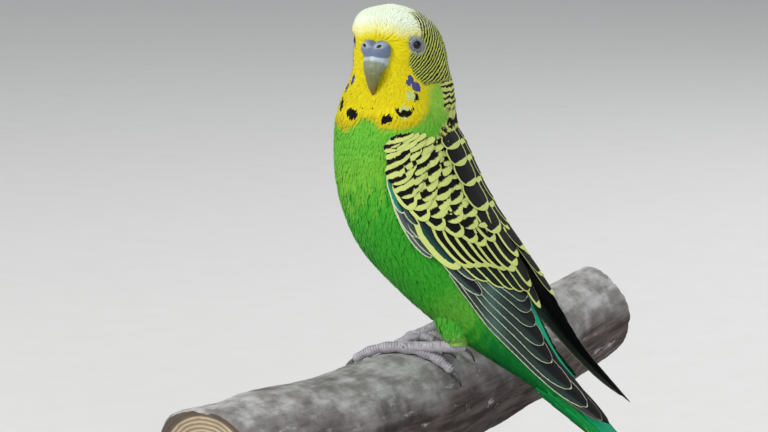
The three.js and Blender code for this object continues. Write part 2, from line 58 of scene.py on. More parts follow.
TAIL_DROP = 43.0
BASE_RADIUS = 58.0
BASE_HEIGHT = 8.0
ROD_RADIUS = 2.5
ROD_ALONG = 34.0
PERCH_RADIUS = 17.6
PERCH_NEAR = 100.0
PERCH_FAR = 104.0
PERCH_YAW = 20.0
PERCH_SLANT = 2.7
PERCH_BEND = 5.0
EYE_RADIUS = 2.3
RANDOM = np.random.default_rng(7)

# The body's cross-sections from the tail to the crown: y and z of the middle, z above the perch,
# the half-width, the depths behind and in front, and the lean of the section's plane in degrees.
SECTIONS = {
    "wing_tips": (61.0, -27.5, 5.2, 2.2, 2.4, 47),
    "tail_root": (49.5, -17.0, 6.8, 3.2, 4.4, 47),
    "rump": (36.6, -5.4, 9.0, 5.2, 6.9, 46),
    "vent": (26.8, 5.3, 12.6, 9.0, 11.6, 44),
    "loin": (18.4, 14.6, 15.6, 12.7, 15.6, 42),
    "belly": (8.3, 26.0, 18.2, 16.0, 18.9, 37),
    "keel": (-2.4, 40.0, 19.6, 18.6, 21.6, 30),
    "breast": (-8.4, 54.5, 19.6, 19.2, 21.6, 24),
    "shoulder": (-10.4, 66.0, 18.6, 18.5, 19.8, 16),
    "throat": (-9.8, 75.2, 16.6, 16.9, 18.2, 8),
    "jaw": (-9.3, 82.5, 14.3, 14.6, 14.5, 2),
    "face": (-9.5, 90.0, 14.0, 13.5, 13.9, 0),
    "brow": (-10.4, 96.0, 12.3, 11.3, 13.1, 0),
    "crown": (-11.8, 100.4, 8.0, 6.9, 8.8, 0),
    "top": (-12.2, 102.4, 0.8, 0.8, 0.8, 0),
}
TABLE = np.array(list(SECTIONS.values()))
AT = {name: i for i, name in enumerate(SECTIONS)}
Y, Z, WIDE, BACK, FRONT, LEAN = range(6)


# Small helpers for numbers and vectors
def rad(degrees):
    return np.radians(degrees)


def lerp(a, b, t):
    return a + (b - a) * t


def smooth(low, high, value):
    """0 below low, 1 above high and smooth between, also where low is the larger."""
    t = np.clip((np.asarray(value, float) - low) / (high - low), 0, 1)
    return t * t * (3 - 2 * t)


def unit(v):
    v = np.asarray(v, float)
    return v / np.maximum(np.linalg.norm(v, axis=-1, keepdims=True), 1e-9)


def norm(v):
    """The lengths of vectors."""
    return np.linalg.norm(v, axis=-1)


def circle(sides):
    """Angles in radians, evenly round a ring."""
    return 2 * math.pi * np.arange(sides) / sides


def flattened(v, normal):
    """The part of v that lies in the surface with that normal."""
    return v - normal * (v * normal).sum(-1, keepdims=True)


def srgb(red, green, blue):
    """A colour's linear values from its display values of 0 to 255."""
    c = np.array([red, green, blue]) / 255
    return np.where(c <= 0.04045, c / 12.92, ((c + 0.055) / 1.055) ** 2.4)


def wave(points, scale, seed):
    """Soft bumps of about 0.5 over points, a few sines that never repeat in step."""
    rng = np.random.default_rng(seed)
    total = np.zeros(points.shape[:-1])
    for _ in range(5):
        direction = unit(rng.normal(size=3)) * 2 * math.pi / scale * rng.uniform(0.7, 1.5)
        total += np.sin(points @ direction + rng.uniform(0, 6.28))
    return total / 5


# The body's outline, at the tips of its feathers
def blended(k, column):
    """One smooth value of a column of SECTIONS at k, a section's number with its fraction."""
    k = np.asarray(k, float)
    last = len(TABLE) - 1
    i = np.clip(np.floor(k).astype(int), 0, last - 1)
    t = k - i
    a, b, c, d = (TABLE[np.clip(i + j, 0, last), column] for j in (-1, 0, 1, 2))
    m, n = (c - a) / 2, (d - b) / 2
    t2, t3 = t * t, t**3
    return (2 * t3 - 3 * t2 + 1) * b + (t3 - 2 * t2 + t) * m + (3 * t2 - 2 * t3) * c + (t3 - t2) * n


def outline(k, turn, lift=0.0):
    """Points of the outline. turn is in degrees: 0 the back, 90 the left side, 180 the front."""
    s, c = np.sin(rad(turn)), np.cos(rad(turn))
    lean = rad(blended(k, LEAN))
    depth = c * (np.where(c > 0, blended(k, BACK), blended(k, FRONT)) + lift)
    return np.stack(
        [
            s * (blended(k, WIDE) + lift),
            blended(k, Y) + depth * np.cos(lean),
            PERCH_TOP + blended(k, Z) + depth * np.sin(lean),
        ],
        -1,
    )


def outline_step(k, turn, k_step=0.0, turn_step=0.0):
    """The way over the outline from one side of a place to the other."""
    return outline(k + k_step, turn + turn_step) - outline(k - k_step, turn - turn_step)


HEAD_MIDDLE = np.array([0, blended(AT["face"], Y), PERCH_TOP + blended(AT["face"], Z)])
HEAD_FORWARD = np.array([math.sin(rad(HEAD_TURN)), -math.cos(rad(HEAD_TURN)), 0])
HEAD_LEFT = np.array([math.cos(rad(HEAD_TURN)), math.sin(rad(HEAD_TURN)), 0])
UP = np.array([0.0, 0.0, 1.0])


def in_head(forward, left, up):
    """A point given in the head's own frame, from its middle at eye height."""
    return HEAD_MIDDLE + forward * HEAD_FORWARD + left * HEAD_LEFT + up * UP


def head_frame(points):
    """The same the other way round: forward, left and up of points."""
    d = points - HEAD_MIDDLE
    return d @ HEAD_FORWARD, d @ HEAD_LEFT, d[..., 2]


EYE_TURN = 52.0
EYE_UP = 1.7
EYE_DEPTH = 11.4
EYE_OUT = {
    side: math.cos(rad(EYE_TURN)) * HEAD_FORWARD + side * math.sin(rad(EYE_TURN)) * HEAD_LEFT
    for side in (1, -1)
}
EYE_CENTRE = {side: HEAD_MIDDLE + EYE_DEPTH * EYE_OUT[side] + EYE_UP * UP for side in (1, -1)}
BILL_ROOT = in_head(12.0, 0.0, -1.5)
FLOW_DOWN = 0.55

# The branch
PERCH_ALONG = np.array(
    [
        math.cos(rad(PERCH_YAW)) * math.cos(rad(PERCH_SLANT)),
        -math.sin(rad(PERCH_YAW)) * math.cos(rad(PERCH_SLANT)),
        -math.sin(rad(PERCH_SLANT)),
    ]
)
PERCH_FRONT = np.array([-math.sin(rad(PERCH_YAW)), -math.cos(rad(PERCH_YAW)), 0])
PERCH_UP = unit(np.cross(PERCH_FRONT, PERCH_ALONG))
PERCH_MIDDLE = np.array([0, -4.8, PERCH_TOP - 0.6 - PERCH_RADIUS])
SMOOTH_LENGTH = 20.0


def perch_radius(s, around):
    lumpy = smooth(SMOOTH_LENGTH, SMOOTH_LENGTH + 22, np.abs(s))
    a = rad(around)
    lumps = 0.45 * np.sin(3 * a + s / 9) + 0.35 * np.sin(2 * a - s / 13 + 1) + 0.3 * np.sin(5 * a + s / 6)
    return PERCH_RADIUS + np.where(s > 0, 0.012, 0.026) * s + lumpy * lumps


def perch_point(s, around, lift=0.0):
    """Points over the bark. around is in degrees from the top, positive towards the bird's front."""
    s, around = np.broadcast_arrays(np.asarray(s, float), np.asarray(around, float))
    r = (perch_radius(s, around) + lift)[..., None]
    middle = PERCH_MIDDLE + s[..., None] * PERCH_ALONG + (PERCH_BEND * (s / 100) ** 2)[..., None] * PERCH_UP
    c, q = np.cos(rad(around))[..., None], np.sin(rad(around))[..., None]
    return middle + r * c * PERCH_UP + r * q * PERCH_FRONT


# Camera, with the photograph's framing: PIXEL is what one of its pixels covers at the bird, and its
# middle is SIDE_SHIFT and UP_SHIFT from the middle of the perch's top
PHOTO_WIDTH = 768
PIXEL = 0.30
VIEW_TURN = 15.0
VIEW_RISE = 10.0
VIEW_DISTANCE = 900.0
VIEW_WIDTH = PHOTO_WIDTH * PIXEL
SENSOR = 36.0
SIDE_SHIFT = -13.8
UP_SHIFT = 38.7


def make_camera():
    turn, rise = rad(VIEW_TURN), rad(VIEW_RISE)
    back = np.array([math.cos(turn) * math.cos(rise), math.sin(turn) * math.cos(rise), math.sin(rise)])
    right = np.array([-math.sin(turn), math.cos(turn), 0])
    aim = np.array([0, 0, PERCH_TOP]) + SIDE_SHIFT * right + UP_SHIFT * np.cross(back, right)
    data = bpy.data.cameras.new("camera")
    data.sensor_width = SENSOR
    data.lens = SENSOR * VIEW_DISTANCE / VIEW_WIDTH
    camera = bpy.data.objects.new("camera", data)
    camera.location = Vector((aim + VIEW_DISTANCE * back) * MM)
    camera.rotation_euler = Vector(back).to_track_quat("Z", "Y").to_euler()
    bpy.context.scene.collection.objects.link(camera)
    bpy.context.scene.camera = camera


# Meshes
FIELDS = {"FLOAT": "value", "FLOAT_VECTOR": "vector", "FLOAT_COLOR": "color"}


def mesh(name, shape, material, nodes=()):
    """An object riding on the model's one body. shape is its points in mm and its faces, and then as
    many as it has of its attributes, its places on the unwrap and its normals."""
    points, faces, attributes, uv, normals = (*shape, *[None] * (5 - len(shape)))
    points = np.asarray(points, float).reshape(-1, 3)
    data = bpy.data.meshes.new(name)
    data.from_pydata((points * MM).tolist(), [], [tuple(f) for f in faces])
    data.polygons.foreach_set("use_smooth", np.ones(len(data.polygons), bool))
    for key, (kind, values) in (attributes or {}).items():
        layer = data.attributes.new(key, kind, "POINT")
        layer.data.foreach_set(FIELDS[kind], np.asarray(values, np.float32).ravel())
    if uv is not None:
        layer = data.uv_layers.new(name="OFBake")
        index = np.zeros(len(data.loops), np.int32)
        data.loops.foreach_get("vertex_index", index)
        layer.data.foreach_set("uv", np.asarray(uv, np.float32)[index].ravel())
    if normals is not None:
        data.normals_split_custom_set_from_vertices(unit(normals))
    data.materials.append(MATERIAL[material])
    made = bpy.data.objects.new(name, data)
    bpy.context.scene.collection.objects.link(made)
    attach(made, "root")
    if nodes:
        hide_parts(*nodes)


def rings_to_faces(rings, sides, flip=False):
    """Quads between rings of points that lie one after another."""
    i, j = np.meshgrid(np.arange(rings - 1), np.arange(sides), indexing="ij")
    a, b = i * sides + j, i * sides + (j + 1) % sides
    faces = np.stack([a, b, b + sides, a + sides], -1).reshape(-1, 4)
    return faces[:, ::-1] if flip else faces


def closed_tube(rings):
    """A closed surface over rings of points, from an array of rings by sides by 3."""
    count, sides = rings.shape[:2]
    points = np.concatenate([rings.reshape(-1, 3), rings[:1].mean(1), rings[-1:].mean(1)])
    first, last = len(points) - 2, len(points) - 1
    faces = [tuple(f) for f in rings_to_faces(count, sides)]
    top = (count - 1) * sides
    for j in range(sides):
        following = (j + 1) % sides
        faces += [(first, following, j), (last, top + j, top + following)]
    return points, faces


def through(points, count):
    """A smooth path through control values, as count rows."""
    points = np.asarray(points, float)
    points = points[:, None] if points.ndim == 1 else points
    last = len(points) - 1
    k = np.linspace(0, last, count)
    i = np.clip(np.floor(k).astype(int), 0, last - 1)
    t = (k - i)[:, None]
    a, b, c, d = (points[np.clip(i + j, 0, last)] for j in (-1, 0, 1, 2))
    made = 0.5 * (2 * b + (c - a) * t + (2 * a - 5 * b + 4 * c - d) * t**2 + (3 * b - a - 3 * c + d) * t**3)
    return made[:, 0] if made.shape[1] == 1 else made


def tube_frame(path, across):
    """Directions along, across and up at each point of a path."""
    along = unit(np.gradient(path, axis=0))
    side = unit(flattened(np.broadcast_to(across, path.shape), along))
    return along, side, np.cross(along, side)


# Materials
class Graph:
    """Short calls for a material's nodes."""

    def __init__(self, name, roughness=0.5, specular=0.5, metallic=0.0, coat=0.0):
        self.material = bpy.data.materials.new(name)
        self.material.use_nodes = True
        self.nodes = self.material.node_tree.nodes
        self.links = self.material.node_tree.links
        self.shader = self.nodes["Principled BSDF"]
        self.set(self.shader, "Roughness", roughness)
        self.set(self.shader, "Specular IOR Level", specular)
        self.set(self.shader, "Metallic", metallic)
        self.set(self.shader, "Coat Weight", coat)
        self.place = self.nodes.new("ShaderNodeTexCoord").outputs["Object"]

    def set(self, node, socket, value):
        """Sets a socket to a number, a colour or another node's output."""
        target = node.inputs[socket]
        if isinstance(value, bpy.types.NodeSocket):
            self.links.new(value, target)
        elif isinstance(value, (int, float)):
            target.default_value = value
        else:
            values = [float(v) for v in value]
            wanted = len(target.default_value)
            target.default_value = values + [1.0] * (wanted - len(values))

    def add(self, kind, inputs, output=0, **settings):
        """The output of a new node with those settings and inputs."""
        node = self.nodes.new("ShaderNode" + kind)
        for key, value in settings.items():
            setattr(node, key, value)
        for socket, value in inputs.items():
            self.set(node, socket, value)
        return node.outputs[output]

    def attribute(self, name, output="Vector"):
        return self.add("Attribute", {}, output, attribute_name=name)

    def split(self, vector):
        node = self.nodes.new("ShaderNodeSeparateXYZ")
        self.set(node, "Vector", vector)
        return node.outputs

    def join(self, x, y, z):
        return self.add("CombineXYZ", {"X": x, "Y": y, "Z": z})

    def math(self, operation, a, b=0.0, c=0.0):
        return self.add("Math", {0: a, 1: b, 2: c}, operation=operation)

    def plus(self, a, b):
        return self.math("ADD", a, b)

    def minus(self, a, b):
        return self.math("SUBTRACT", a, b)

    def times(self, a, b, added=0.0):
        return self.math("MULTIPLY_ADD", a, b, added)

    def scaled(self, vector, scale):
        return self.add("VectorMath", {0: vector, 1: scale}, operation="MULTIPLY")

    def noise(self, vector, scale, detail=3.0, rough=0.5):
        inputs = {"Vector": vector, "Scale": scale, "Detail": detail, "Roughness": rough}
        return self.add("TexNoise", inputs, "Fac")

    def cells(self, vector, scale):
        """The distance to the edge of the cell, in a pattern of cells."""
        inputs = {"Vector": vector, "Scale": scale}
        return self.add("TexVoronoi", inputs, "Distance", feature="DISTANCE_TO_EDGE")

    def ramp(self, value, low, high, bottom=0.0, top=1.0):
        """bottom below low, top above high and smooth between."""
        inputs = {"Value": value, "From Min": low, "From Max": high, "To Min": bottom, "To Max": top}
        return self.add("MapRange", inputs, interpolation_type="SMOOTHSTEP")

    def mix(self, a, b, amount):
        return self.add("Mix", {0: amount, 6: a, 7: b}, 2, data_type="RGBA")

    def brightness(self, colour, value):
        return self.add("HueSaturation", {"Color": colour, "Value": value})

    def bump(self, height, distance, strength=1.0, below=None):
        inputs = {"Height": height, "Distance": distance * MM, "Strength": strength}
        if below is not None:
            inputs["Normal"] = below
        return self.add("Bump", inputs)

    def done(self, colour, normal=None, roughness=None):
        self.set(self.shader, "Base Color", colour)
        if normal is not None:
            self.set(self.shader, "Normal", normal)
        if roughness is not None:
            self.set(self.shader, "Roughness", roughness)
        return self.material


def plumage_material(name, roughness, specular, barb_period, barb_depth, wander):
    """Feathers. Their marks come from attributes: Ground and Mark are the two colours, Vane the place
    across and along the feather and the distance to its rim in mm, Bars the phase and strength of
    the crossbars and the strength of the inner mark, Look the rim's and the band's width in mm and
    a random number, and Spots the distances to the black, violet and pale spots of the face."""
    g = Graph(name, roughness=roughness, specular=specular)
    across, along, rim = g.split(g.attribute("Vane"))
    phase, barred, inner = g.split(g.attribute("Bars"))
    edge, band, chance = g.split(g.attribute("Look"))
    ragged = g.noise(g.place, 1100.0, 2.0)
    wobble = g.times(ragged, 0.6, -0.3)
    drift = g.times(g.noise(g.place, 330.0, 2.0), 1.1, -0.55)
    ragged_drift = g.times(g.plus(wobble, drift), wander)
    turn = g.times(g.plus(phase, ragged_drift), 2 * math.pi)
    bars = g.ramp(g.math("SINE", turn), -0.35, 0.35)
    depth = g.plus(rim, g.times(wobble, 0.8))
    inside = g.ramp(g.minus(depth, edge), -0.08, 0.12)
    beyond = g.ramp(g.minus(g.minus(depth, edge), band), -0.15, 0.2, 1.0, 0.0)
    crescent = g.times(g.times(inside, beyond), inner)
    marked = g.math("MAXIMUM", g.times(bars, barred), crescent)
    colour = g.mix(g.attribute("Ground", "Color"), g.attribute("Mark", "Color"), marked)
    black, violet, pale = g.split(g.attribute("Spots"))
    for far, tint in ((violet, VIOLET), (black, BLACK), (pale, PALE_SPOT)):
        cover = g.ramp(g.plus(far, g.times(ragged_drift, 0.55)), 0.92, 1.08, 1.0, 0.0)
        colour = g.mix(colour, tint, cover)
    slant = g.minus(along, g.times(g.math("ABSOLUTE", across), 0.8))
    strand = g.times(slant, 1 / barb_period)
    grain = g.join(g.times(across, 1.5), strand, g.times(chance, 50.0))
    barbs = g.noise(grain, 1.6, 2.0, 0.6)
    patches = g.noise(g.place, 130.0, 2.0)
    value = g.plus(g.ramp(barbs, 0.3, 0.7, 0.9, 1.07), g.times(chance, 0.1, -0.05))
    value = g.plus(value, g.times(patches, 0.2, -0.1))
    colour = g.brightness(colour, value)
    rough = g.ramp(barbs, 0.2, 0.8, roughness - 0.08, roughness + 0.1)
    return g.done(colour, g.bump(barbs, barb_depth, 0.5), rough)


def eye_material():
    g = Graph("eye_dark", roughness=0.08, specular=0.35)
    along = g.attribute("Radius", "Fac")
    flecks = g.noise(g.place, 2500.0, 3.0)
    iris = g.mix(srgb(16, 12, 11), srgb(34, 27, 26), flecks)
    pupil = g.mix(srgb(4, 4, 5), iris, g.ramp(along, 0.8, 0.95))
    ring = g.mix(srgb(150, 172, 196), srgb(110, 128, 150), flecks)
    return g.done(g.mix(pupil, ring, g.ramp(along, 1.2, 1.28)))


def lid_material():
    g = Graph("lid_skin", roughness=0.5, specular=0.4)
    light, dark = srgb(150, 152, 158), srgb(84, 86, 92)
    cells = g.cells(g.place, 2600.0)
    mottled = g.noise(g.place, 910.0, 4.0)
    colour = g.mix(dark, light, g.ramp(cells, 0.02, 0.22))
    colour = g.mix(colour, light, g.ramp(mottled, 0.35, 0.75, 0.0, 0.6))
    colour = g.brightness(colour, g.ramp(mottled, 0.2, 0.8, 0.88, 1.1))
    fine = g.bump(g.noise(g.place, 13000.0, 2.0), 0.015, 0.5)
    bumps = g.bump(g.ramp(cells, 0.0, 0.25), 0.05, 0.8, fine)
    return g.done(colour, bumps, g.ramp(mottled, 0.2, 0.8, 0.4, 0.62))


def cere_material():
    g = Graph("cere_skin", roughness=0.42, specular=0.45)
    pale = g.attribute("Pale", "Fac")
    mottled = g.noise(g.place, 600.0, 4.0)
    colour = g.mix(srgb(88, 102, 128), srgb(128, 142, 168), mottled)
    patchy = g.times(pale, g.ramp(mottled, 0.1, 0.8, 0.6, 0.95))
    colour = g.mix(colour, srgb(184, 198, 208), patchy)
    # The nostrils are painted near-black as the shade inside them
    colour = g.mix(colour, srgb(10, 10, 14), g.attribute("Hole", "Fac"))
    pores = g.cells(g.place, 2600.0)
    normal = g.bump(pores, 0.02, 0.6, g.bump(mottled, 0.12, 0.5))
    return g.done(colour, normal, g.ramp(mottled, 0.2, 0.8, 0.34, 0.55))


def bill_material():
    g = Graph("bill_horn", roughness=0.34, specular=0.5)
    along = g.attribute("Along", "Fac")
    layers = g.noise(g.scaled(g.place, (260.0, 260.0, 1300.0)), 1.0, 4.0)
    streaks = g.noise(g.scaled(g.place, (1500.0, 1500.0, 180.0)), 1.0, 3.0)
    colour = g.mix(srgb(176, 192, 204), srgb(132, 140, 118), g.ramp(along, 0.2, 0.27))
    colour = g.mix(colour, srgb(112, 114, 64), g.ramp(along, 0.27, 0.55))
    colour = g.mix(colour, srgb(122, 98, 36), g.ramp(along, 0.55, 0.95))
    colour = g.mix(colour, srgb(176, 176, 140), g.times(g.ramp(layers, 0.55, 0.7), 0.2))
    colour = g.brightness(colour, g.ramp(streaks, 0.25, 0.75, 0.84, 1.12))
    chips = g.ramp(layers, 0.5, 0.62)
    normal = g.bump(streaks, 0.04, 0.5, g.bump(chips, 0.05, 0.5))
    return g.done(colour, normal, g.ramp(layers, 0.3, 0.7, 0.28, 0.48))


def scaly_material():
    g = Graph("scaly_skin", roughness=0.6, specular=0.35)
    plate = g.attribute("Plate", "Fac")
    mottled = g.noise(g.place, 700.0, 4.0)
    edges = g.plus(plate, g.times(mottled, 0.5, -0.25))
    colour = g.mix(srgb(118, 110, 120), srgb(176, 172, 180), g.ramp(edges, 0.02, 0.4))
    colour = g.mix(colour, srgb(196, 194, 198), g.ramp(edges, 0.6, 0.9, 0.0, 0.8))
    colour = g.brightness(colour, g.ramp(mottled, 0.3, 0.7, 0.85, 1.12))
    fine = g.bump(g.cells(g.place, 3200.0), 0.04, 0.6)
    return g.done(colour, g.bump(mottled, 0.1, 0.5, fine), g.ramp(mottled, 0.2, 0.8, 0.5, 0.72))


def claw_material():
    g = Graph("claw_horn", roughness=0.35, specular=0.5)
    streaks = g.noise(g.place, 900.0, 4.0)
    colour = g.mix(srgb(70, 70, 72), srgb(120, 118, 120), streaks)
    colour = g.mix(colour, srgb(40, 38, 40), g.ramp(g.attribute("Along", "Fac"), 0.35, 1.0))
    return g.done(colour, g.bump(streaks, 0.05, 0.5), g.ramp(streaks, 0.2, 0.8, 0.28, 0.5))


def bark_material():
    g = Graph("bark_grey", roughness=0.82, specular=0.25)
    lie = g.attribute("Lie")
    top = g.attribute("Top", "Fac")
    strands = g.noise(g.scaled(lie, (60.0, 420.0, 420.0)), 1.0, 6.0, 0.65)
    blotches = g.noise(g.place, 38.0, 5.0, 0.6)
    spots = g.noise(g.place, 150.0, 4.0, 0.6)
    pale = g.mix(srgb(142, 139, 136), srgb(192, 191, 191), g.ramp(spots, 0.35, 0.65))
    dark = g.mix(srgb(66, 56, 54), srgb(104, 92, 90), g.ramp(strands, 0.35, 0.65))
    # The bark is painted paler towards its top as light from above, mixed with its own pale blotches
    shade = g.plus(g.times(top, 0.75), g.times(blotches, 1.2, -0.62))
    colour = g.mix(dark, pale, g.ramp(shade, 0.1, 0.75))
    scuffs = g.ramp(g.noise(g.scaled(lie, (90.0, 230.0, 230.0)), 1.0, 5.0, 0.7), 0.6, 0.68)
    colour = g.mix(colour, srgb(188, 186, 186), g.times(scuffs, 0.8))
    colour = g.brightness(colour, g.ramp(strands, 0.3, 0.75, 0.78, 1.12))
    normal = g.bump(strands, 0.5, 0.7, g.bump(g.noise(g.place, 1500.0, 3.0), 0.12, 0.6))
    return g.done(colour, normal, g.ramp(spots, 0.2, 0.8, 0.7, 0.92))


def end_grain_material():
    g = Graph("end_grain", roughness=0.75, specular=0.25)
    out = g.attribute("Radius", "Fac")
    noise = g.noise(g.place, 160.0, 4.0)
    rings = g.math("SINE", g.plus(g.times(out, 5.2), g.times(noise, 5.0)))
    colour = g.mix(srgb(150, 132, 108), srgb(196, 180, 152), g.ramp(rings, -0.6, 0.8))
    colour = g.mix(colour, srgb(96, 84, 74), g.ramp(out, PERCH_RADIUS - 2.2, PERCH_RADIUS - 1.2))
    colour = g.brightness(colour, g.ramp(noise, 0.2, 0.8, 0.85, 1.1))
    return g.done(colour, g.bump(rings, 0.12, 0.5, g.bump(g.noise(g.place, 2200.0, 2.0), 0.08, 0.5)))


def wood_material():
    g = Graph("dark_wood", roughness=0.4, specular=0.4, coat=0.25)
    stretched = g.scaled(g.place, (14.0, 150.0, 150.0))
    grain = g.noise(stretched, 1.0, 6.0, 0.6)
    pores = g.noise(g.scaled(g.place, (90.0, 1500.0, 1500.0)), 1.0, 3.0)
    colour = g.mix(srgb(46, 28, 18), srgb(96, 62, 40), g.ramp(grain, 0.3, 0.7))
    colour = g.brightness(colour, g.ramp(pores, 0.3, 0.6, 0.78, 1.06))
    normal = g.bump(pores, 0.05, 0.4, g.bump(grain, 0.1, 0.4))
    return g.done(colour, normal, g.ramp(grain, 0.2, 0.8, 0.3, 0.48))


def steel_material():
    g = Graph("satin_steel", roughness=0.32, metallic=1.0)
    brushed = g.noise(g.scaled(g.place, (3000.0, 3000.0, 60.0)), 1.0, 3.0)
    colour = g.mix(srgb(168, 168, 170), srgb(196, 196, 198), brushed)
    return g.done(colour, g.bump(brushed, 0.01, 0.4), g.ramp(brushed, 0.2, 0.8, 0.26, 0.4))


def floor_material():
    g = Graph("pale_floor", roughness=0.7, specular=0.2)
    speckle = g.noise(g.place, 60.0, 4.0)
    return g.done(g.mix(srgb(226, 226, 224), srgb(232, 232, 231), speckle))


# Plumage colours
CREAM = srgb(238, 250, 224)
PALE_YELLOW = srgb(236, 232, 142)
YELLOW = srgb(226, 210, 18)
MASK_RIM = srgb(206, 186, 22)
YELLOW_GREEN = srgb(190, 200, 92)
NAPE_YELLOW = srgb(206, 214, 120)
EDGE_YELLOW = srgb(206, 218, 126)
GRASS = srgb(104, 190, 56)
UPPER_BREAST = srgb(134, 196, 58)
GREEN = srgb(54, 162, 40)
LOWER_BELLY = srgb(112, 184, 62)
SIDE_GREEN = srgb(146, 204, 72)
EMERALD = srgb(16, 122, 50)
TURQUOISE = srgb(20, 176, 130)
BLACK = srgb(12, 11, 13)
VIOLET = srgb(78, 78, 136)
PALE_SPOT = srgb(200, 212, 130)
GREY_LILAC = srgb(166, 168, 172)
PALE_BARS = srgb(212, 220, 168)


def mixed(base, colour, amount):
    return base + (np.asarray(colour) - base) * np.asarray(amount)[..., None]


def face_turn(k):
    """The turn at which the face's middle line lies: the neck twists from the breast to the bill."""
    return 180 - HEAD_TURN * smooth(6.7, 8.2, k)


def from_front(k, turn):
    """Degrees from the face's middle line, negative to the bird's left."""
    return (np.asarray(turn) - face_turn(k) + 180) % 360 - 180


def flow_distance(points):
    """Grows along the lie of the head's feathers, so that crossbars follow its steps."""
    return norm(points - BILL_ROOT) - FLOW_DOWN * (points[..., 2] - HEAD_MIDDLE[2])


# Spots of the throat and cheeks: k, degrees from the face's middle, half-width and half-height in
# mm, and tilt in degrees. A pale spot over a black one leaves the black one's edge as a crescent.
BLACK_SPOTS = [
    (9.0, 45, 1.5, 2.0, 0), (8.73, 20, 2.7, 1.7, 0), (8.42, -20, 1.9, 1.2, -24), (8.55, -36, 2.6, 1.5, -16),
    (8.9, 8, 0.3, 0.55, 0), (8.82, -4, 0.3, 0.55, 0), (8.68, -45, 0.35, 0.8, 0), (9.08, -46, 1.35, 1.3, 0),
]
VIOLET_SPOTS = [
    (9.82, -40, 0.95, 1.7, 22), (9.52, -48, 1.35, 1.5, 0),
    (9.82, 40, 0.95, 1.7, -22), (9.52, 48, 1.35, 1.5, 0),
]
PALE_SPOTS = [(9.14, -41.5, 1.5, 1.5, 0), (8.68, -37, 1.7, 0.8, -12), (8.3, -38, 1.2, 0.6, 0)]
FAR_AWAY = 9.0  # a distance well beyond every mark


def spot_distance(points, spots):
    """How far points lie from the nearest of some ovals on the body, 1 at an oval's edge."""
    nearest = np.full(points.shape[:-1], FAR_AWAY)
    for k, degrees, half_wide, half_high, tilt in spots:
        turn = degrees + face_turn(k)
        middle = outline(k, turn)
        along = unit(outline_step(k, turn, 0.02))
        across = unit(outline_step(k, turn, 0, 1))
        c, s = math.cos(rad(tilt)), math.sin(rad(tilt))
        d = points - middle
        x, y = d @ (c * across + s * along) / half_wide, d @ (c * along - s * across) / half_high
        inside = np.abs(d @ np.cross(across, along)) < 5
        nearest = np.where(inside, np.minimum(nearest, np.hypot(x, y)), nearest)
    return nearest


# Edges of the plumage's areas, each against degrees from the face's middle line or against k
MASK_EDGE = (
    [-74, -70, -66, -62, -58, -50, -40, -30, -20, -11, -6, 0, 7, 15, 25, 35, 45, 56, 62, 68, 74],
    [
        9.6, 9.3, 8.8, 8.35, 8.1, 7.95, 8.0, 8.07, 8.12, 8.25, 8.42, 8.6,
        8.6, 8.4, 8.33, 8.4, 8.5, 8.62, 8.8, 9.1, 9.6,
    ],
)
CAP_EDGE = ([-80, -45, -25, 0, 15, 35, 80], [11.6, 11.55, 11.8, 11.9, 11.8, 11.55, 11.6])
BARS_START = (
    [9.35, 9.5, 9.75, 10.0, 10.35, 10.75, 11.1, 11.4, 11.6, 12.0, 12.6, 13.0, 14.0],
    [66, 57, 51, 45, 40, 39, 48, 58, 63, 68, 74, 80, 96],
)
NAPE_START = ([6.6, 7.2, 8.3, 9.4], [140, 118, 80, 77])
NAPE_TOP = 9.6
# On the right side, how much later the cheek's bars start, and how far from the back the neck's reach
FAR_CHEEK = 12.0
FAR_REACH = ([6.6, 7.4, 8.4, 9.4], [46, 56, 84, 116])
# The number of the neck's bars passed by k, and the head's spacing where its bars start, in mm, with
# the distance over which the spacing grows
NAPE_BARS = ([4.4, 5, 6, 7, 8, 9, 10], [19.3, 17.5, 14.2, 10.6, 6.8, 3.0, 0.0])
HEAD_BAR = 0.95
HEAD_BAR_GROWTH = 25.0


def nape_strength(k, away):
    """1 over the barred back of the neck and the mantle, and 0 elsewhere."""
    start = np.interp(k, *NAPE_START)
    below_head = smooth(NAPE_TOP + 0.1, NAPE_TOP - 0.1, k)
    return smooth(start - 3, start + 3, away) * below_head * smooth(4.3, 4.6, k)


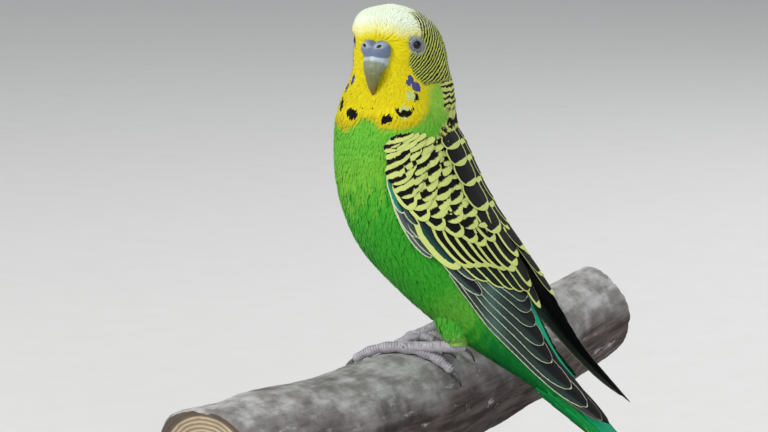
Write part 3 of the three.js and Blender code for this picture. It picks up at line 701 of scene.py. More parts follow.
def plumage(points, k, turn):
    """Ground colour, mark colour, crossbar phase and crossbar strength of the body's plumage."""
    a = from_front(k, turn)
    away = np.abs(a)
    back = np.abs((np.asarray(turn) + 180) % 360 - 180)
    forward, _, up = head_frame(points)
    uneven = wave(points, 4.0, 3)
    fine = wave(points, 1.6, 4)
    edge = np.interp(a, *MASK_EDGE) + 0.05 * uneven + 0.04 * fine
    side_green = smooth(50, 74, away + 9 * uneven) * smooth(9.7, 9.2, k + 0.1 * uneven)
    cap = np.interp(a, *CAP_EDGE) + 0.05 * uneven
    start = np.interp(k, *BARS_START) + FAR_CHEEK * (a > 0)
    barred = smooth(start - 2, start + 3, away + 2 * fine) * smooth(9.45, 9.62, k)
    barred = barred * (1 - smooth(9, 11, up) * smooth(-4.5, -1.5, forward))
    nape = nape_strength(k, away + 6 * uneven)
    far_side = (np.asarray(turn) + 180) % 360 < 180
    reach = np.interp(k, *FAR_REACH)
    nape = nape * np.where(far_side, smooth(reach + 10, reach - 4, back + 8 * uneven), 1)
    washes = (
        (UPPER_BREAST, 0.6 * smooth(7.9, 7.0, k) * smooth(6.2, 7.0, k + 0.5 * uneven)),
        (GREEN, smooth(7.5, 6.0, k + 0.5 * uneven)),
        (LOWER_BELLY, 0.55 * smooth(4.9, 4.3, k) * smooth(3.6, 4.1, k + 0.4 * uneven)),
        (EMERALD, smooth(3.9, 2.9, k + 0.4 * uneven)),
        (TURQUOISE, smooth(4.6, 4.0, k) * smooth(60, 40, back)),
        (MASK_RIM, smooth(edge - 0.14, edge + 0.08, k)),
        (YELLOW, smooth(edge, edge + 0.4, k)),
        (SIDE_GREEN, side_green * smooth(7.6, 8.2, k)),
        (PALE_YELLOW, smooth(cap - 0.2, cap + 0.2, k)),
        (CREAM, smooth(cap + 0.05, cap + 0.9, k)),
        (YELLOW_GREEN, barred),
        (PALE_BARS, barred * smooth(4, 9, up)),
        (NAPE_YELLOW, nape),
    )
    ground = np.broadcast_to(GRASS, points.shape)
    for colour, amount in washes:
        ground = mixed(ground, colour, amount)
    for side in (1, -1):
        behind = EYE_CENTRE[side] + 1.9 * EYE_OUT[side] - 0.45 * HEAD_FORWARD - 0.3 * UP
        ring = 0.8 * smooth(3.3, 2.4, norm(points - behind))
        ground = mixed(ground, GREY_LILAC, ring)
        barred = barred * (1 - ring)
    way = flow_distance(points) - 16
    head_phase = -HEAD_BAR_GROWTH / HEAD_BAR * np.exp(-way / HEAD_BAR_GROWTH)
    slanted = 0.028 * np.clip(48 - back, 0, 30) * smooth(8.3, 7.5, k)
    nape_phase = np.interp(k + slanted + 0.05 * uneven, *NAPE_BARS)
    phase = np.where(k > NAPE_TOP, head_phase, nape_phase)
    return ground, np.broadcast_to(BLACK, points.shape), phase, np.maximum(barred, nape)


# The skin under the feathers: the outline sunk by the coat's depth
SKIN_RINGS = 250
SKIN_SIDES = 144
SKIN_FROM = 1.6
# How deep the skin lies under the feathers' tips, by k
COAT_DEPTH = ([1.6, 3, 7, 8.6, 9.6, 14], [0.9, 1.3, 1.3, 1.0, 0.65, 0.6])
SOCKET_RADIUS = 3.0
SOCKET_DEPTH = 0.9


def skin_grid():
    ks = np.linspace(SKIN_FROM, AT["top"], SKIN_RINGS)
    turns = -360.0 * np.arange(SKIN_SIDES) / SKIN_SIDES
    k, turn = np.meshgrid(ks, turns, indexing="ij")
    points = outline(k, turn)
    along = np.gradient(points, axis=0)
    around = np.roll(points, -1, 1) - np.roll(points, 1, 1)
    normal = unit(np.cross(around, along))
    points = points - normal * np.interp(k, *COAT_DEPTH)[..., None]
    for side in (1, -1):
        d = points - EYE_CENTRE[side]
        off_axis = norm(flattened(d, EYE_OUT[side]))
        near = smooth(SOCKET_RADIUS, SOCKET_RADIUS / 2, off_axis) * (d @ EYE_OUT[side] > 0)
        points = points - EYE_OUT[side] * (SOCKET_DEPTH * near)[..., None]
    return points, k, turn % 360


def make_skin():
    """The one skin of torso, neck and head, with the same marks as the coat."""
    points, k, turn = skin_grid()
    flat, ks, turns = points.reshape(-1, 3), k.ravel(), turn.ravel()
    _, faces = closed_tube(points)
    every = np.concatenate([flat, points[:1].mean(1), points[-1:].mean(1)])
    all_ks, all_turns = np.append(ks, [SKIN_FROM, AT["top"]]), np.append(turns, [0, 0])
    ground, mark, phase, barred = plumage(every, all_ks, all_turns)
    none = np.zeros(len(every))
    blank = (none, none, none)
    attributes = feather_attributes(every, ground, mark, blank, (phase, barred, none), blank)
    shape = (every, faces, attributes, place_on_map(all_ks, all_turns))
    mesh("skin", shape, "body_feathers", ["torso", "neck", "head"])
    return Surface(flat, rings_to_faces(SKIN_RINGS, SKIN_SIDES), ks, turns)


PATCH = 0.0015  # half of the side of a feather's own patch on the unwrap


def place_on_map(k, turn):
    """Where a place of the body lies on its unwrap, with k up and the turn across."""
    return np.stack([0.02 + 0.96 * (np.asarray(turn) % 360) / 360, 0.02 + 0.96 * np.asarray(k) / 15], -1)


def place_on_patch(across, along):
    """Where a feather's point lies on its patch, across from -1 to 1 and along from 0 to 1."""
    return np.stack([PATCH * across, 2 * PATCH * along - PATCH], -1)


def feather_attributes(points, ground, mark, vane, bars, look, spotted=True):
    """The mesh attributes that plumage_material reads."""
    opaque = np.ones((len(ground), 1))
    spots = [np.full(len(ground), FAR_AWAY)] * 3
    if spotted:
        spots = [spot_distance(points, spots) for spots in (BLACK_SPOTS, VIOLET_SPOTS, PALE_SPOTS)]
    return {
        "Ground": ("FLOAT_COLOR", np.hstack([ground, opaque])),
        "Mark": ("FLOAT_COLOR", np.hstack([mark, opaque])),
        "Vane": ("FLOAT_VECTOR", np.stack(vane, -1)),
        "Bars": ("FLOAT_VECTOR", np.stack(bars, -1)),
        "Look": ("FLOAT_VECTOR", np.stack(look, -1)),
        "Spots": ("FLOAT_VECTOR", np.stack(spots, -1)),
    }


class Surface:
    """The nearest places on a closed mesh, with its smooth normals and each place's k and turn."""

    def __init__(self, points, faces, ks, turns):
        self.tree = BVHTree.FromPolygons(points.tolist(), faces.tolist())
        a, b, c, d = (points[faces[:, i]] for i in range(4))
        face_normals = unit(np.cross(c - a, d - b))
        totals = np.zeros_like(points)
        for i in range(4):
            np.add.at(totals, faces[:, i], face_normals)
        self.normals = unit(unit(totals)[faces].mean(1))
        self.ks = ks[faces].mean(1)
        self.turns = turns[faces[:, 0]]

    def nearest(self, points):
        found = [self.tree.find_nearest(Vector(p)) for p in points.reshape(-1, 3)]
        index = np.array([f[2] for f in found])
        places = np.array([f[0][:] for f in found])
        shape = points.shape[:-1]
        return places.reshape(points.shape), self.normals[index].reshape(points.shape), index.reshape(shape)


# Small body feathers, laid over the skin
ROW_PLACES = np.array([0.0, 0.3, 0.58, 0.82, 1.0])
ROW_WIDTHS = np.array([0.45, 0.9, 1.0, 0.8, 0.25])
RING_SIDES = np.array([1.0, 0.0, -1.0, 0.0])
VANE_THICKNESS = 0.035
# How far feathers stray: their places as a part of the spacing, their lie and shading as slopes
LOOSE = 0.4
STRAY = 0.12
ROLL = 0.05


def head_flow(points, normals):
    """The lie of the feathers on the head: away from the bill, and down."""
    away = unit(points - BILL_ROOT)
    return unit(flattened(away - FLOW_DOWN * UP, normals))


def body_flow(k, turn, normals):
    return unit(flattened(-outline_step(k, turn, 0.03), normals))


def scatter(k_from, k_to, turn_from, turn_to, along, across):
    """Places of k and turn spread over a part of the body, somewhat out of line."""
    ks, turns = [], []
    k, row = k_from, 0
    while k < k_to:
        step = np.linalg.norm(outline_step(k, 90, 0.02)) / 0.04
        ring = outline(k, np.linspace(turn_from, turn_to, 40))
        girth = norm(np.diff(ring, axis=0)).sum()
        count = max(1, int(girth / across))
        spots = np.arange(count) + 0.5 * (row % 2) + RANDOM.uniform(-LOOSE, LOOSE, count)
        turns.append(turn_from + (turn_to - turn_from) * (spots / count % 1))
        ks.append(k + RANDOM.uniform(-LOOSE, LOOSE, count) * along / step)
        k += along / max(step, 1.0)
        row += 1
    return np.clip(np.concatenate(ks), 0, AT["top"] - 0.02), np.concatenate(turns) % 360


def vane_rings(path, half, across, out):
    """Closed strips of four points round each step of a path, with normals that shade them soft."""
    thick = VANE_THICKNESS * (1.3 - ROW_PLACES)[None, :, None]
    crown = 0.1 * half
    right = path + across * half - out * crown
    left = path - across * half - out * crown
    rings = np.stack([right, path + out * thick, left, path - out * thick], 2)
    normals = np.stack([out + 0.25 * across, out, out - 0.25 * across, -out], 2)
    return rings.reshape(-1, 3), normals.reshape(-1, 3)


def strip_faces(count):
    """The faces of as many of those strips."""
    rows = len(ROW_PLACES)
    end = 4 * (rows - 1)
    caps = np.array([[3, 2, 1, 0], [end, end + 1, end + 2, end + 3]])
    one = np.concatenate([rings_to_faces(rows, 4), caps])
    return (one[None] + (np.arange(count) * 4 * rows)[:, None, None]).reshape(-1, 4)


def finished_bed(points, shading, marks, half, length, chance, corner, spots_at=None):
    """A bed from its vanes' points. marks are their ground and mark colours and their crossbars'
    phase and strength, half and length are their half-width and length in mm, corner is their place
    on the unwrap, and spots_at is where the face's spots are read, if they are."""
    ground, mark, phase, barred = marks
    strips = len(points) // (4 * len(ROW_PLACES))
    side = np.tile(RING_SIDES, len(points) // 4)
    along = np.tile(np.repeat(ROW_PLACES, 4), strips)
    none = np.zeros(len(points))
    vane, bars, look = (side * half, along * length, none), (phase, barred, none), (none, none, chance)
    spotted = spots_at is not None
    attributes = feather_attributes(spots_at if spotted else points, ground, mark, vane, bars, look, spotted)
    return points, strip_faces(strips), attributes, corner + place_on_patch(side, along), shading


def lay_feathers(surface, k, turn, size):
    """Many small closed vanes. size gives length, width, and height at the root and at the tip."""
    length, width, low, high = (np.broadcast_to(v, k.shape).astype(float) for v in size)
    count, rows = len(k), len(ROW_PLACES)
    chance = RANDOM.uniform(0, 1, count)
    length = length * RANDOM.uniform(0.88, 1.12, count)
    width = width * RANDOM.uniform(0.88, 1.12, count)
    high = high * RANDOM.uniform(0.94, 1.06, count)
    roots, normals, _ = surface.nearest(outline(k, turn))
    on_head = smooth(8.6, 9.8, k)[:, None]
    lie = unit(lerp(body_flow(k, turn, normals), head_flow(roots, normals), on_head))
    lie = unit(lie + np.cross(normals, lie) * RANDOM.normal(0, STRAY, count)[:, None])
    reach = roots[:, None] + lie[:, None] * (length[:, None] * ROW_PLACES)[..., None]
    places, normals, index = surface.nearest(reach)
    across = unit(np.cross(normals, lie[:, None]))
    roll = RANDOM.normal(0, ROLL, (2, count, 1, 1))
    half = (0.5 * width[:, None] * ROW_WIDTHS)[..., None]
    lift = (low[:, None] + (high - low)[:, None] * ROW_PLACES**0.8)[..., None]
    points, shading = vane_rings(places + normals * lift, half, across, normals)
    rolled = np.broadcast_to(roll[0] * across + roll[1] * lie[:, None], places.shape)
    shading = shading + rolled.repeat(4, 1).reshape(-1, 3)

    def spread(values):
        return np.repeat(values[..., None], 4, -1).ravel()

    def each(values):
        return np.repeat(values, 4 * rows, axis=0)

    marks = plumage(points, spread(surface.ks[index]), spread(surface.turns[index]))
    slipped = (lie[:, None] * RANDOM.normal(0, 0.3, count)[:, None, None]).repeat(4 * rows, 1).reshape(-1, 3)
    corner = each(place_on_map(k, turn))
    across_mm, along_mm = spread(half[..., 0]), each(length)
    return finished_bed(points, shading, marks, across_mm, along_mm, each(chance), corner, points + slipped)


COAT_LIMIT = 195000  # triangles in one piece


def make_coat(name, bed):
    """One coat piece from a bed of feathers."""
    triangles = 2 * len(bed[1])
    if triangles > COAT_LIMIT:
        raise ValueError(f"{name} has {triangles} triangles")
    mesh(name, bed, "body_feathers")


def paired_beds(name, k_from, k_to, turn, *rest):
    """The beds of both sides, which meet at the middle of the front."""
    left = (k_from, k_to, turn, 180, *rest)
    right = (k_from, k_to, 180, 360 - turn, *rest)
    return {name + "_left": left, name + "_right": right}


# Beds of body feathers: k from and to, turn from and to, spacing along and across, and each
# feather's length, width, and height at its root and tip
BEDS = {
    **paired_beds("belly", 1.9, 4.6, 50, 1.0, 0.75, (6.5, 1.25, 0.1, 1.2)),
    **paired_beds("breast", 4.6, 7.3, 62, 0.95, 0.72, (5.6, 1.2, 0.1, 1.2)),
    **paired_beds("neck", 7.3, 9.0, 40, 0.75, 0.62, (4.0, 1.0, 0.1, 0.95)),
    **paired_beds("face", 9.0, 11.0, 0, 0.56, 0.5, (2.7, 0.8, 0.05, 0.58)),
    "crown": (11.0, 14.0, 0, 360, 0.55, 0.52, (2.7, 0.8, 0.05, 0.54)),
    "nape": (7.3, 9.0, -40, 40, 0.75, 0.62, (4.0, 1.1, 0.1, 0.95)),
    "mantle": (4.3, 7.3, -62, 62, 0.95, 0.75, (5.6, 1.3, 0.1, 1.2)),
}
EYE_CLEARANCE = 1.85


def make_body_coat(surface):
    for name, (k0, k1, t0, t1, along, across, size) in BEDS.items():
        k, turn = scatter(k0, k1, t0, t1, along, across)
        keep = clear_of_bare_parts(k, turn)
        make_coat("coat_" + name, lay_feathers(surface, k[keep], turn[keep], size))


def clear_of_bare_parts(k, turn):
    """False for feathers that would start on the eyes, the cere or the bill."""
    points = outline(k, turn)
    forward, left, up = head_frame(points)
    keep = np.ones(len(k), bool)
    for side in (1, -1):
        keep &= norm(points - EYE_CENTRE[side] - 1.6 * EYE_OUT[side]) > EYE_CLEARANCE
    low = np.interp(up, [-12, -8, -3, -1, 3.0, 3.2], [0, 2.0, 3.8, 4.8, 4.6, 0])
    keep &= ~((forward > 8) & (np.abs(left) < low) & (up > -12) & (up < 3.2))
    return keep


# Large vanes: wings and tail
VANE_ROWS = 17
VANE_COLUMNS = np.array([-1.0, -0.84, -0.55, -0.2, 0.0, 0.2, 0.55, 0.84, 1.0])
QUILL_COLUMN = 4
QUILL_HEIGHT = 0.07
WHOLE = 99  # mm, wider than any vane, for a band that fills it


def vane_width(v, blunt):
    """A vane's width along it: narrow at the root, full, and round at the tip."""
    opening = lerp(0.4, 1.0, np.clip(v / 0.35, 0, 1))
    end = np.sqrt(np.clip(1 - (np.clip(v - (1 - blunt), 0, 1) / blunt) ** 2, 0, 1))
    return opening * np.maximum(end, 0.08)


def make_vane(place, length, wide, form, look, chance):
    """One large vane as a closed mesh. place(v, reach, height) gives points from the way along the
    vane, mm across it and height over its base. form gives how blunt it is, where its quill lies
    and its camber. look gives its colours, the widths of its edge and of the band within it in mm,
    what the edge's width is divided by on each side, and the crossbars' phase at the tip with their
    spacing in mm."""
    blunt, shaft, camber = form
    v = 1 - (1 - np.linspace(0, 1, VANE_ROWS)) ** 1.35
    grid_v, grid_u = np.meshgrid(v, VANE_COLUMNS, indexing="ij")
    half = 0.5 * wide * vane_width(grid_v, blunt)
    reach = grid_u * half + shaft * half * (1 - np.abs(grid_u))
    quill = np.abs(grid_u) < 0.01
    height = QUILL_HEIGHT * quill * (1 - 0.7 * grid_v) - camber * grid_u**2
    thick = 0.1 * (1 - 0.6 * np.abs(grid_u)) * (1 - 0.4 * grid_v)
    top = place(grid_v, reach, height + thick)
    bottom = place(grid_v, reach, height - thick - QUILL_HEIGHT * quill)
    rows, columns = grid_v.shape
    shift = rows * columns
    i, j = (g.ravel() for g in np.meshgrid(np.arange(rows - 1), np.arange(columns - 1), indexing="ij"))
    a, b = i * columns + j, (i + 1) * columns + j
    sheet = np.stack([a, a + 1, b + 1, b], -1)
    loop = [r * columns for r in range(rows)] + [(rows - 1) * columns + c for c in range(1, columns)]
    loop += [r * columns + columns - 1 for r in range(rows - 2, -1, -1)] + list(range(columns - 2, 0, -1))
    here, after = np.array(loop), np.roll(loop, -1)
    sides = np.stack([here, after, after + shift, here + shift], -1)
    faces = np.concatenate([sheet, sheet[:, ::-1] + shift, sides])
    normals = unit(np.cross(np.gradient(top, axis=1), np.gradient(top, axis=0)))
    normals = normals * np.sign((normals * (top - bottom)).sum(-1, keepdims=True))
    root, beyond, beside = top[0, QUILL_COLUMN], top[1, QUILL_COLUMN], top[0, QUILL_COLUMN + 1]
    if np.cross(beyond - root, beside - root) @ normals[0, QUILL_COLUMN] > 0:
        faces = faces[:, ::-1]

    def both(values):
        return np.concatenate([values.ravel()] * 2)

    outer_scale, inner_scale = look.get("sides", (1, 1))
    side = (1 - np.abs(grid_u)) * half * np.where(grid_u < 0, outer_scale, inner_scale)
    sagging = look.get("sag", 0) * np.abs(grid_u) * half
    rim = np.minimum(side, (1 - grid_v) * length) - sagging
    barred = "bars" in look
    from_tip, period = look.get("bars", (0.0, 1.0))
    phase = from_tip + ((1 - grid_v) * length - sagging) / period
    size = 2 * shift
    fill = np.ones(size)
    ground = np.broadcast_to(look["ground"], (size, 3)).copy()
    mark = np.broadcast_to(look["mark"], (size, 3)).copy()
    if "outer" in look:
        mark = mixed(mark, look["outer"], both(smooth(0.12, -0.1, grid_u)))
    # A band across the vane at where: a painted highlight on the primaries, and the tail feathers' own blue
    # tint
    if "tint_and_painted_glint" in look:
        where, colour = look["tint_and_painted_glint"]
        tint_and_glint_band = np.exp(-(((grid_v - where) / 0.1) ** 2)) * (grid_u < 0.3)
        mark = mixed(mark, colour, 0.45 * both(tint_and_glint_band))
    mark = mixed(mark, mark * 0.6, 0.8 * both(quill.astype(float)))
    points = np.concatenate([top.reshape(-1, 3), bottom.reshape(-1, 3)])
    vane = (both(reach), both(grid_v) * length, both(rim))
    bars = (both(phase), fill * barred, fill * (1 - barred))
    widths = (fill * look["edge"], fill * look.get("band", WHOLE), fill * chance)
    attributes = feather_attributes(points, ground, mark, vane, bars, widths, False)
    shading = np.concatenate([normals.reshape(-1, 3), -normals.reshape(-1, 3)])
    return points, faces, attributes, shading


def on_body(root, tip, lift, bow, tilt):
    """A place function for a vane that lies over the body from root to tip, each of k and turn. tilt
    is how much its outer edge stands up over its neighbour, for each mm across."""
    root, tip = np.asarray(root, float), np.asarray(tip, float)

    def middle(v):
        at = root + (tip - root) * np.asarray(v)[..., None]
        return at[..., 0], at[..., 1] + bow * np.sin(np.pi * v)

    def place(v, reach, height):
        k, turn = middle(v)
        per_k = norm(outline_step(k, turn, 0.05)) / 0.1
        per_turn = norm(outline_step(k, turn, 0, 1)) / 2
        k1, t1 = middle(np.minimum(1, v + 0.02))
        k0, t0 = middle(np.maximum(0, v - 0.02))
        run = unit(np.stack([(k1 - k0) * per_k, (t1 - t0) * per_turn], -1))
        over = lerp(lift[0], lift[1], v) - tilt * reach + height
        return outline(k - run[..., 1] * reach / per_k, turn + run[..., 0] * reach / per_turn, over)

    ends = outline(np.array([root[0], tip[0]]), np.array([root[1], tip[1]]))
    return place, float(np.linalg.norm(ends[1] - ends[0]))


SLATE = srgb(84, 94, 104)
SLATE_GREEN = srgb(46, 62, 58)
PALE_EDGE = srgb(190, 198, 168)
BARRED = {"ground": EDGE_YELLOW, "mark": BLACK, "edge": 0.0, "band": 0.0, "sag": 0.14}
BROAD_EDGED = {"ground": EDGE_YELLOW, "mark": srgb(20, 18, 20), "edge": 1.45, "sides": (2.2, 2.2)}

# The folded wing's tiers. Tips are [k, turn] places from the outer to the inner edge, and each
# pair of numbers runs from the outermost to the innermost feather. back and turned lead from a tip
# to its root in k and degrees, and root and lift are the heights there and at the tip. form gives
# how blunt the vanes are, where their quills lie and their camber. first and last change the look
# of a tier's ends.
WING_TIERS = {
    "inner_vanes": dict(
        tips=[(0.62, 45), (1.2, 40), (1.8, 39), (2.4, 43)], back=(3.5, 2.0), turned=(16, 8),
        wide=(5.0, 5.4), root=(0.5, 0.6), lift=(0.7, 0.9), bow=(2, 0), tilt=0.0, form=(0.25, 0.0, 0.05),
        look={"ground": srgb(40, 40, 42), "mark": srgb(20, 20, 23), "edge": 0.1},
    ),
    "primaries": dict(
        tips=[
            (0.75, 58), (1.1, 61), (1.5, 56), (2.05, 47), (2.45, 41), (2.85, 35), (3.2, 29), (3.5, 24),
        ],
        back=(4.2, 1.4), turned=(19, 30), wide=(5.0, 6.4), root=(0.6, 1.5), lift=(0.9, 1.75), bow=(9, 1),
        tilt=0.05, form=(0.16, -0.3, 0.06),
        look={
            "ground": PALE_EDGE, "mark": srgb(24, 25, 26), "outer": SLATE_GREEN, "edge": 0.3,
            # The pale turquoise band across the primaries is a painted highlight
            "sides": (1, 3), "tint_and_painted_glint": (0.4, srgb(96, 134, 124)),
        },
        first={"ground": srgb(118, 108, 96), "outer": srgb(62, 66, 62)},
    ),
    "primary_coverts": dict(
        tips=[(4.2, 73), (4.52, 67), (4.78, 63), (5.3, 83), (5.6, 81), (5.9, 80), (6.2, 79)],
        back=(1.4, 0.9), turned=(5, 1), wide=(3.5, 3.2), root=(1.1, 1.4), lift=(1.6, 1.9), bow=(2, 0),
        tilt=0.08, form=(0.3, -0.2, 0.08),
        look={
            "ground": PALE_EDGE, "mark": srgb(24, 30, 32), "outer": srgb(56, 76, 72), "edge": 0.34,
            "sides": (1, 3),
        },
    ),
    "secondaries": dict(
        tips=[(4.3, 54), (4.02, 44), (3.82, 35), (3.66, 26), (3.55, 17)], back=(1.4, 1.4), turned=(13, 10),
        wide=(5.6, 6.4), root=(1.5, 1.7), lift=(1.8, 2.1), bow=(0, 0), tilt=0.1, form=(0.25, -0.2, 0.06),
        look={
            "ground": EDGE_YELLOW, "mark": BLACK, "outer": srgb(22, 34, 32), "edge": 0.5, "sides": (1, 9),
        },
    ),
    "tertials": dict(
        tips=[(3.08, 8), (3.62, 9), (4.2, 17), (4.35, 7)], back=(1.7, 1.5), turned=(3, 2), wide=(6.8, 8.4),
        root=(1.6, 1.9), lift=(2.0, 2.5), bow=(0, 0), tilt=0.08, form=(0.4, 0.0, 0.06),
        look={**BROAD_EDGED, "edge": 2.1, "sides": (2.4, 9)},
    ),
    "alula": dict(
        tips=[(5.33, 88), (5.7, 87), (6.2, 85.5)], back=(1.6, 0.9), turned=(-2, 0), wide=(3.6, 3.2),
        root=(1.2, 1.5), lift=(1.5, 1.8), bow=(0, 0), tilt=0.1, form=(0.3, -0.2, 0.1),
        look={
            "ground": srgb(214, 220, 178), "mark": srgb(38, 42, 46), "outer": SLATE, "edge": 0.34,
            "sides": (1, 3),
        },
        last={"outer": srgb(40, 130, 112)},
    ),
    "greater_coverts": dict(
        tips=[(4.88, 73), (4.74, 62), (4.65, 54), (4.56, 47), (4.43, 40), (4.28, 33), (4.14, 25)],
        back=(1.25, 1.2), turned=(4, 6), wide=(6.2, 6.8), root=(1.6, 1.8), lift=(2.0, 2.45), bow=(0, 0),
        tilt=0.12, form=(0.42, -0.1, 0.05),
        look={**BROAD_EDGED, "mark": BLACK, "edge": 2.3, "sides": (3.0, 99)},
        first={"mark": srgb(22, 40, 40), "outer": srgb(30, 70, 66), "sides": (1.4, 99)},
    ),
}
# The rows of coverts between the greater coverts and the shoulder: the lines of the lowest and the
# top row's tips as [k, turn] from the outer to the inner edge
LOW_ROW = [(6.25, 78), (5.85, 71), (5.5, 61), (5.15, 50), (4.95, 40), (4.86, 27)]
TOP_ROW = [(7.64, 73), (7.6, 66), (7.5, 58), (7.3, 50), (7.02, 40), (6.8, 27)]
COVERT_ROWS = 7
MEDIAN_LOOK = {**BROAD_EDGED, "mark": BLACK, "edge": 1.8, "sides": (2.0, 2.4)}
# The shoulder feathers beside the back, as k of their tips, and their two columns
SCAPULAR_TIPS = [4.97, 5.47, 6.03, 6.5, 6.9]
SCAPULAR_COLUMNS = [
    {"turn": 3, "wide": 6.0, "rise": -0.3},
    {"turn": 17, "wide": 9.2, "rise": 0.0},
]


def along_row(row, f):
    """The [k, turn] place that lies f of the way along a row of places."""
    at = np.array(row, float)
    return np.array([np.interp(f * (len(at) - 1), range(len(at)), at[:, c]) for c in (0, 1)])


def wing_feathers():
    """Every large vane of the left wing, as points, faces, attributes, normals, root and length."""
    return tier_feathers() + covert_feathers() + scapular_feathers()


def tier_feathers():
    made = []
    for tier in WING_TIERS.values():
        for i, at in enumerate(tier["tips"]):
            t = i / (len(tier["tips"]) - 1)
            tip = np.array(at) + RANDOM.normal(0, 1, 2) * (0.015, 0.4)
            root = tip + (lerp(*tier["back"], t), lerp(*tier["turned"], t))
            lifts = (lerp(*tier["root"], t), lerp(*tier["lift"], t))
            bow, wide = lerp(*tier["bow"], t), lerp(*tier["wide"], t)
            end = "first" if i == 0 else "last" if t == 1 else "middle"
            look = {**tier["look"], **tier.get(end, {})}
            made.append(wing_vane(root, tip, wide, lifts, bow, tier["tilt"], tier["form"], look))
    return made


def covert_feathers():
    """The median coverts, scalloped in black, and the barred rows over them."""
    made = []
    for row in range(COVERT_ROWS + 1):
        t = (row + 0.35 * (row > 0)) / (COVERT_ROWS + 0.35)
        count = 7 if row == 0 else 6
        for column in range(count):
            f = (column + (0.4 * (row % 2) if row else 0.25)) / (count - 0.55)
            low, top = along_row(LOW_ROW, f), along_row(TOP_ROW, f)
            loose = 0.012 + 0.02 * math.sin(math.pi * f) * (row > 0)
            tip = lerp(low, top, t) + RANDOM.normal(0, 1, 2) * (loose, 0.8)
            spacing = np.linalg.norm(outline(*top) - outline(*low)) / COVERT_ROWS
            root = tip + (lerp(0.8, 0.32, t), lerp(4, 0, t))
            lifts = (lerp(1.5, -0.9, t**2), lerp(2.5, 0.7, t**2))
            if row == 0:
                made.append(wing_vane(root, tip, 5.2, lifts, 0, 0.05, (0.45, 0.0, 0.08), MEDIAN_LOOK))
                continue
            look = {**BARRED, "bars": (0.63 + RANDOM.normal(0, 0.03), spacing)}
            wide = lerp(7.4, 5.6, f) * RANDOM.uniform(0.92, 1.1)
            made.append(wing_vane(root, tip, wide, lifts, 0, 0.04, (0.35, 0.0, 0.06), look))
    return made


def scapular_feathers():
    made = []
    for i, k in enumerate(SCAPULAR_TIPS):
        t = i / (len(SCAPULAR_TIPS) - 1)
        for column in SCAPULAR_COLUMNS:
            tip = np.array([k + RANDOM.normal(0, 0.02), column["turn"] + RANDOM.normal(0, 0.6)])
            root = tip + (lerp(0.95, 0.6, t), 2)
            lifts = (lerp(1.7, -0.9, t**2) + column["rise"], lerp(2.6, 1.2, t**2) + column["rise"])
            look = {**BROAD_EDGED, "edge": lerp(1.8, 1.4, t), "sides": (3.0, 3.0)}
            made.append(wing_vane(root, tip, column["wide"], lifts, 0, 0.02, (0.4, 0.0, 0.06), look))
    return made


def wing_vane(root, tip, wide, lifts, bow, tilt, form, look):
    place, length = on_body(root, tip, lifts, bow, tilt)
    return *make_vane(place, length, wide, form, look, RANDOM.uniform(0, 1)), root, length


# How far the right wing's end is moved in mm, and the length over which that grows
SPREAD = np.array([-5.0, 3.5, 3.3])
SPREAD_LENGTH = 51.0


def loosened(points):
    """The right wing is held looser than the left: behind the shoulder it stands off the back."""
    start, end = outline(5.5, 0.0), outline(0.0, 0.0)
    behind = (points - start) @ unit(end - start)
    return points + SPREAD * smooth(0, SPREAD_LENGTH, behind)[:, None]


def gather(feathers, other_side=False):
    """One mesh's parts from several large vanes, mirrored for the bird's right side."""
    points, faces, uv, normals, start = [], [], [], [], 0
    attributes = {}
    for p, f, a, n, root, length in feathers:
        corner = place_on_map(root[0], root[1])
        across, along, _ = a["Vane"][1].T
        uv.append(corner + place_on_patch(np.clip(across / 4, -1, 1), along / length))
        points.append(p)
        normals.append(n)
        faces.append(f + start)
        start += len(p)
        for key, (kind, values) in a.items():
            attributes.setdefault(key, (kind, []))[1].append(values)
    points, faces, uv, normals = (np.concatenate(v) for v in (points, faces, uv, normals))
    attributes = {key: (kind, np.concatenate(values)) for key, (kind, values) in attributes.items()}
    if other_side:
        mirror = np.array([-1.0, 1.0, 1.0])
        points = loosened(points * mirror)
        normals = normals * mirror
        faces = faces[:, ::-1]
        uv = (1, 0) + uv * (-1, 1)
    return points, faces, attributes, uv, normals


def make_wings():
    feathers = wing_feathers()
    for name, other_side in (("left", False), ("right", True)):
        shape = gather(feathers, other_side)
        mesh("feathers_wing_" + name, shape, "flight_feathers", ["wing_" + name])


TAIL_ALONG = np.array([0, math.cos(rad(TAIL_DROP)), -math.sin(rad(TAIL_DROP))])
TAIL_UP = np.array([0, math.sin(rad(TAIL_DROP)), math.cos(rad(TAIL_DROP))])
TAIL_ROOT = np.array([0, blended(AT["rump"], Y) - 2.2, PERCH_TOP + blended(AT["rump"], Z) - 0.4])
TAIL_REACH = (1.0, 0.89, 0.77, 0.66, 0.56, 0.47)
TAIL_COVERT = 0.2 * TAIL_LENGTH
INNER_TAIL = {
    "ground": srgb(10, 148, 100), "mark": srgb(4, 118, 96), "edge": 0.4, "tint_and_painted_glint": (0.9, srgb(8, 40, 70)),
}
OUTER_TAIL = {
    "ground": srgb(160, 206, 104), "mark": srgb(6, 150, 102), "outer": srgb(104, 188, 84), "edge": 0.4,
    "tint_and_painted_glint": (0.8, srgb(28, 70, 84)),
}


def on_tail(along, side, up):
    """Points given in the tail's own frame, in mm from its root."""
    along, side, up = (np.asarray(v, float)[..., None] for v in (along, side, up))
    return TAIL_ROOT + along * TAIL_ALONG + side * np.array([1.0, 0, 0]) + up * TAIL_UP


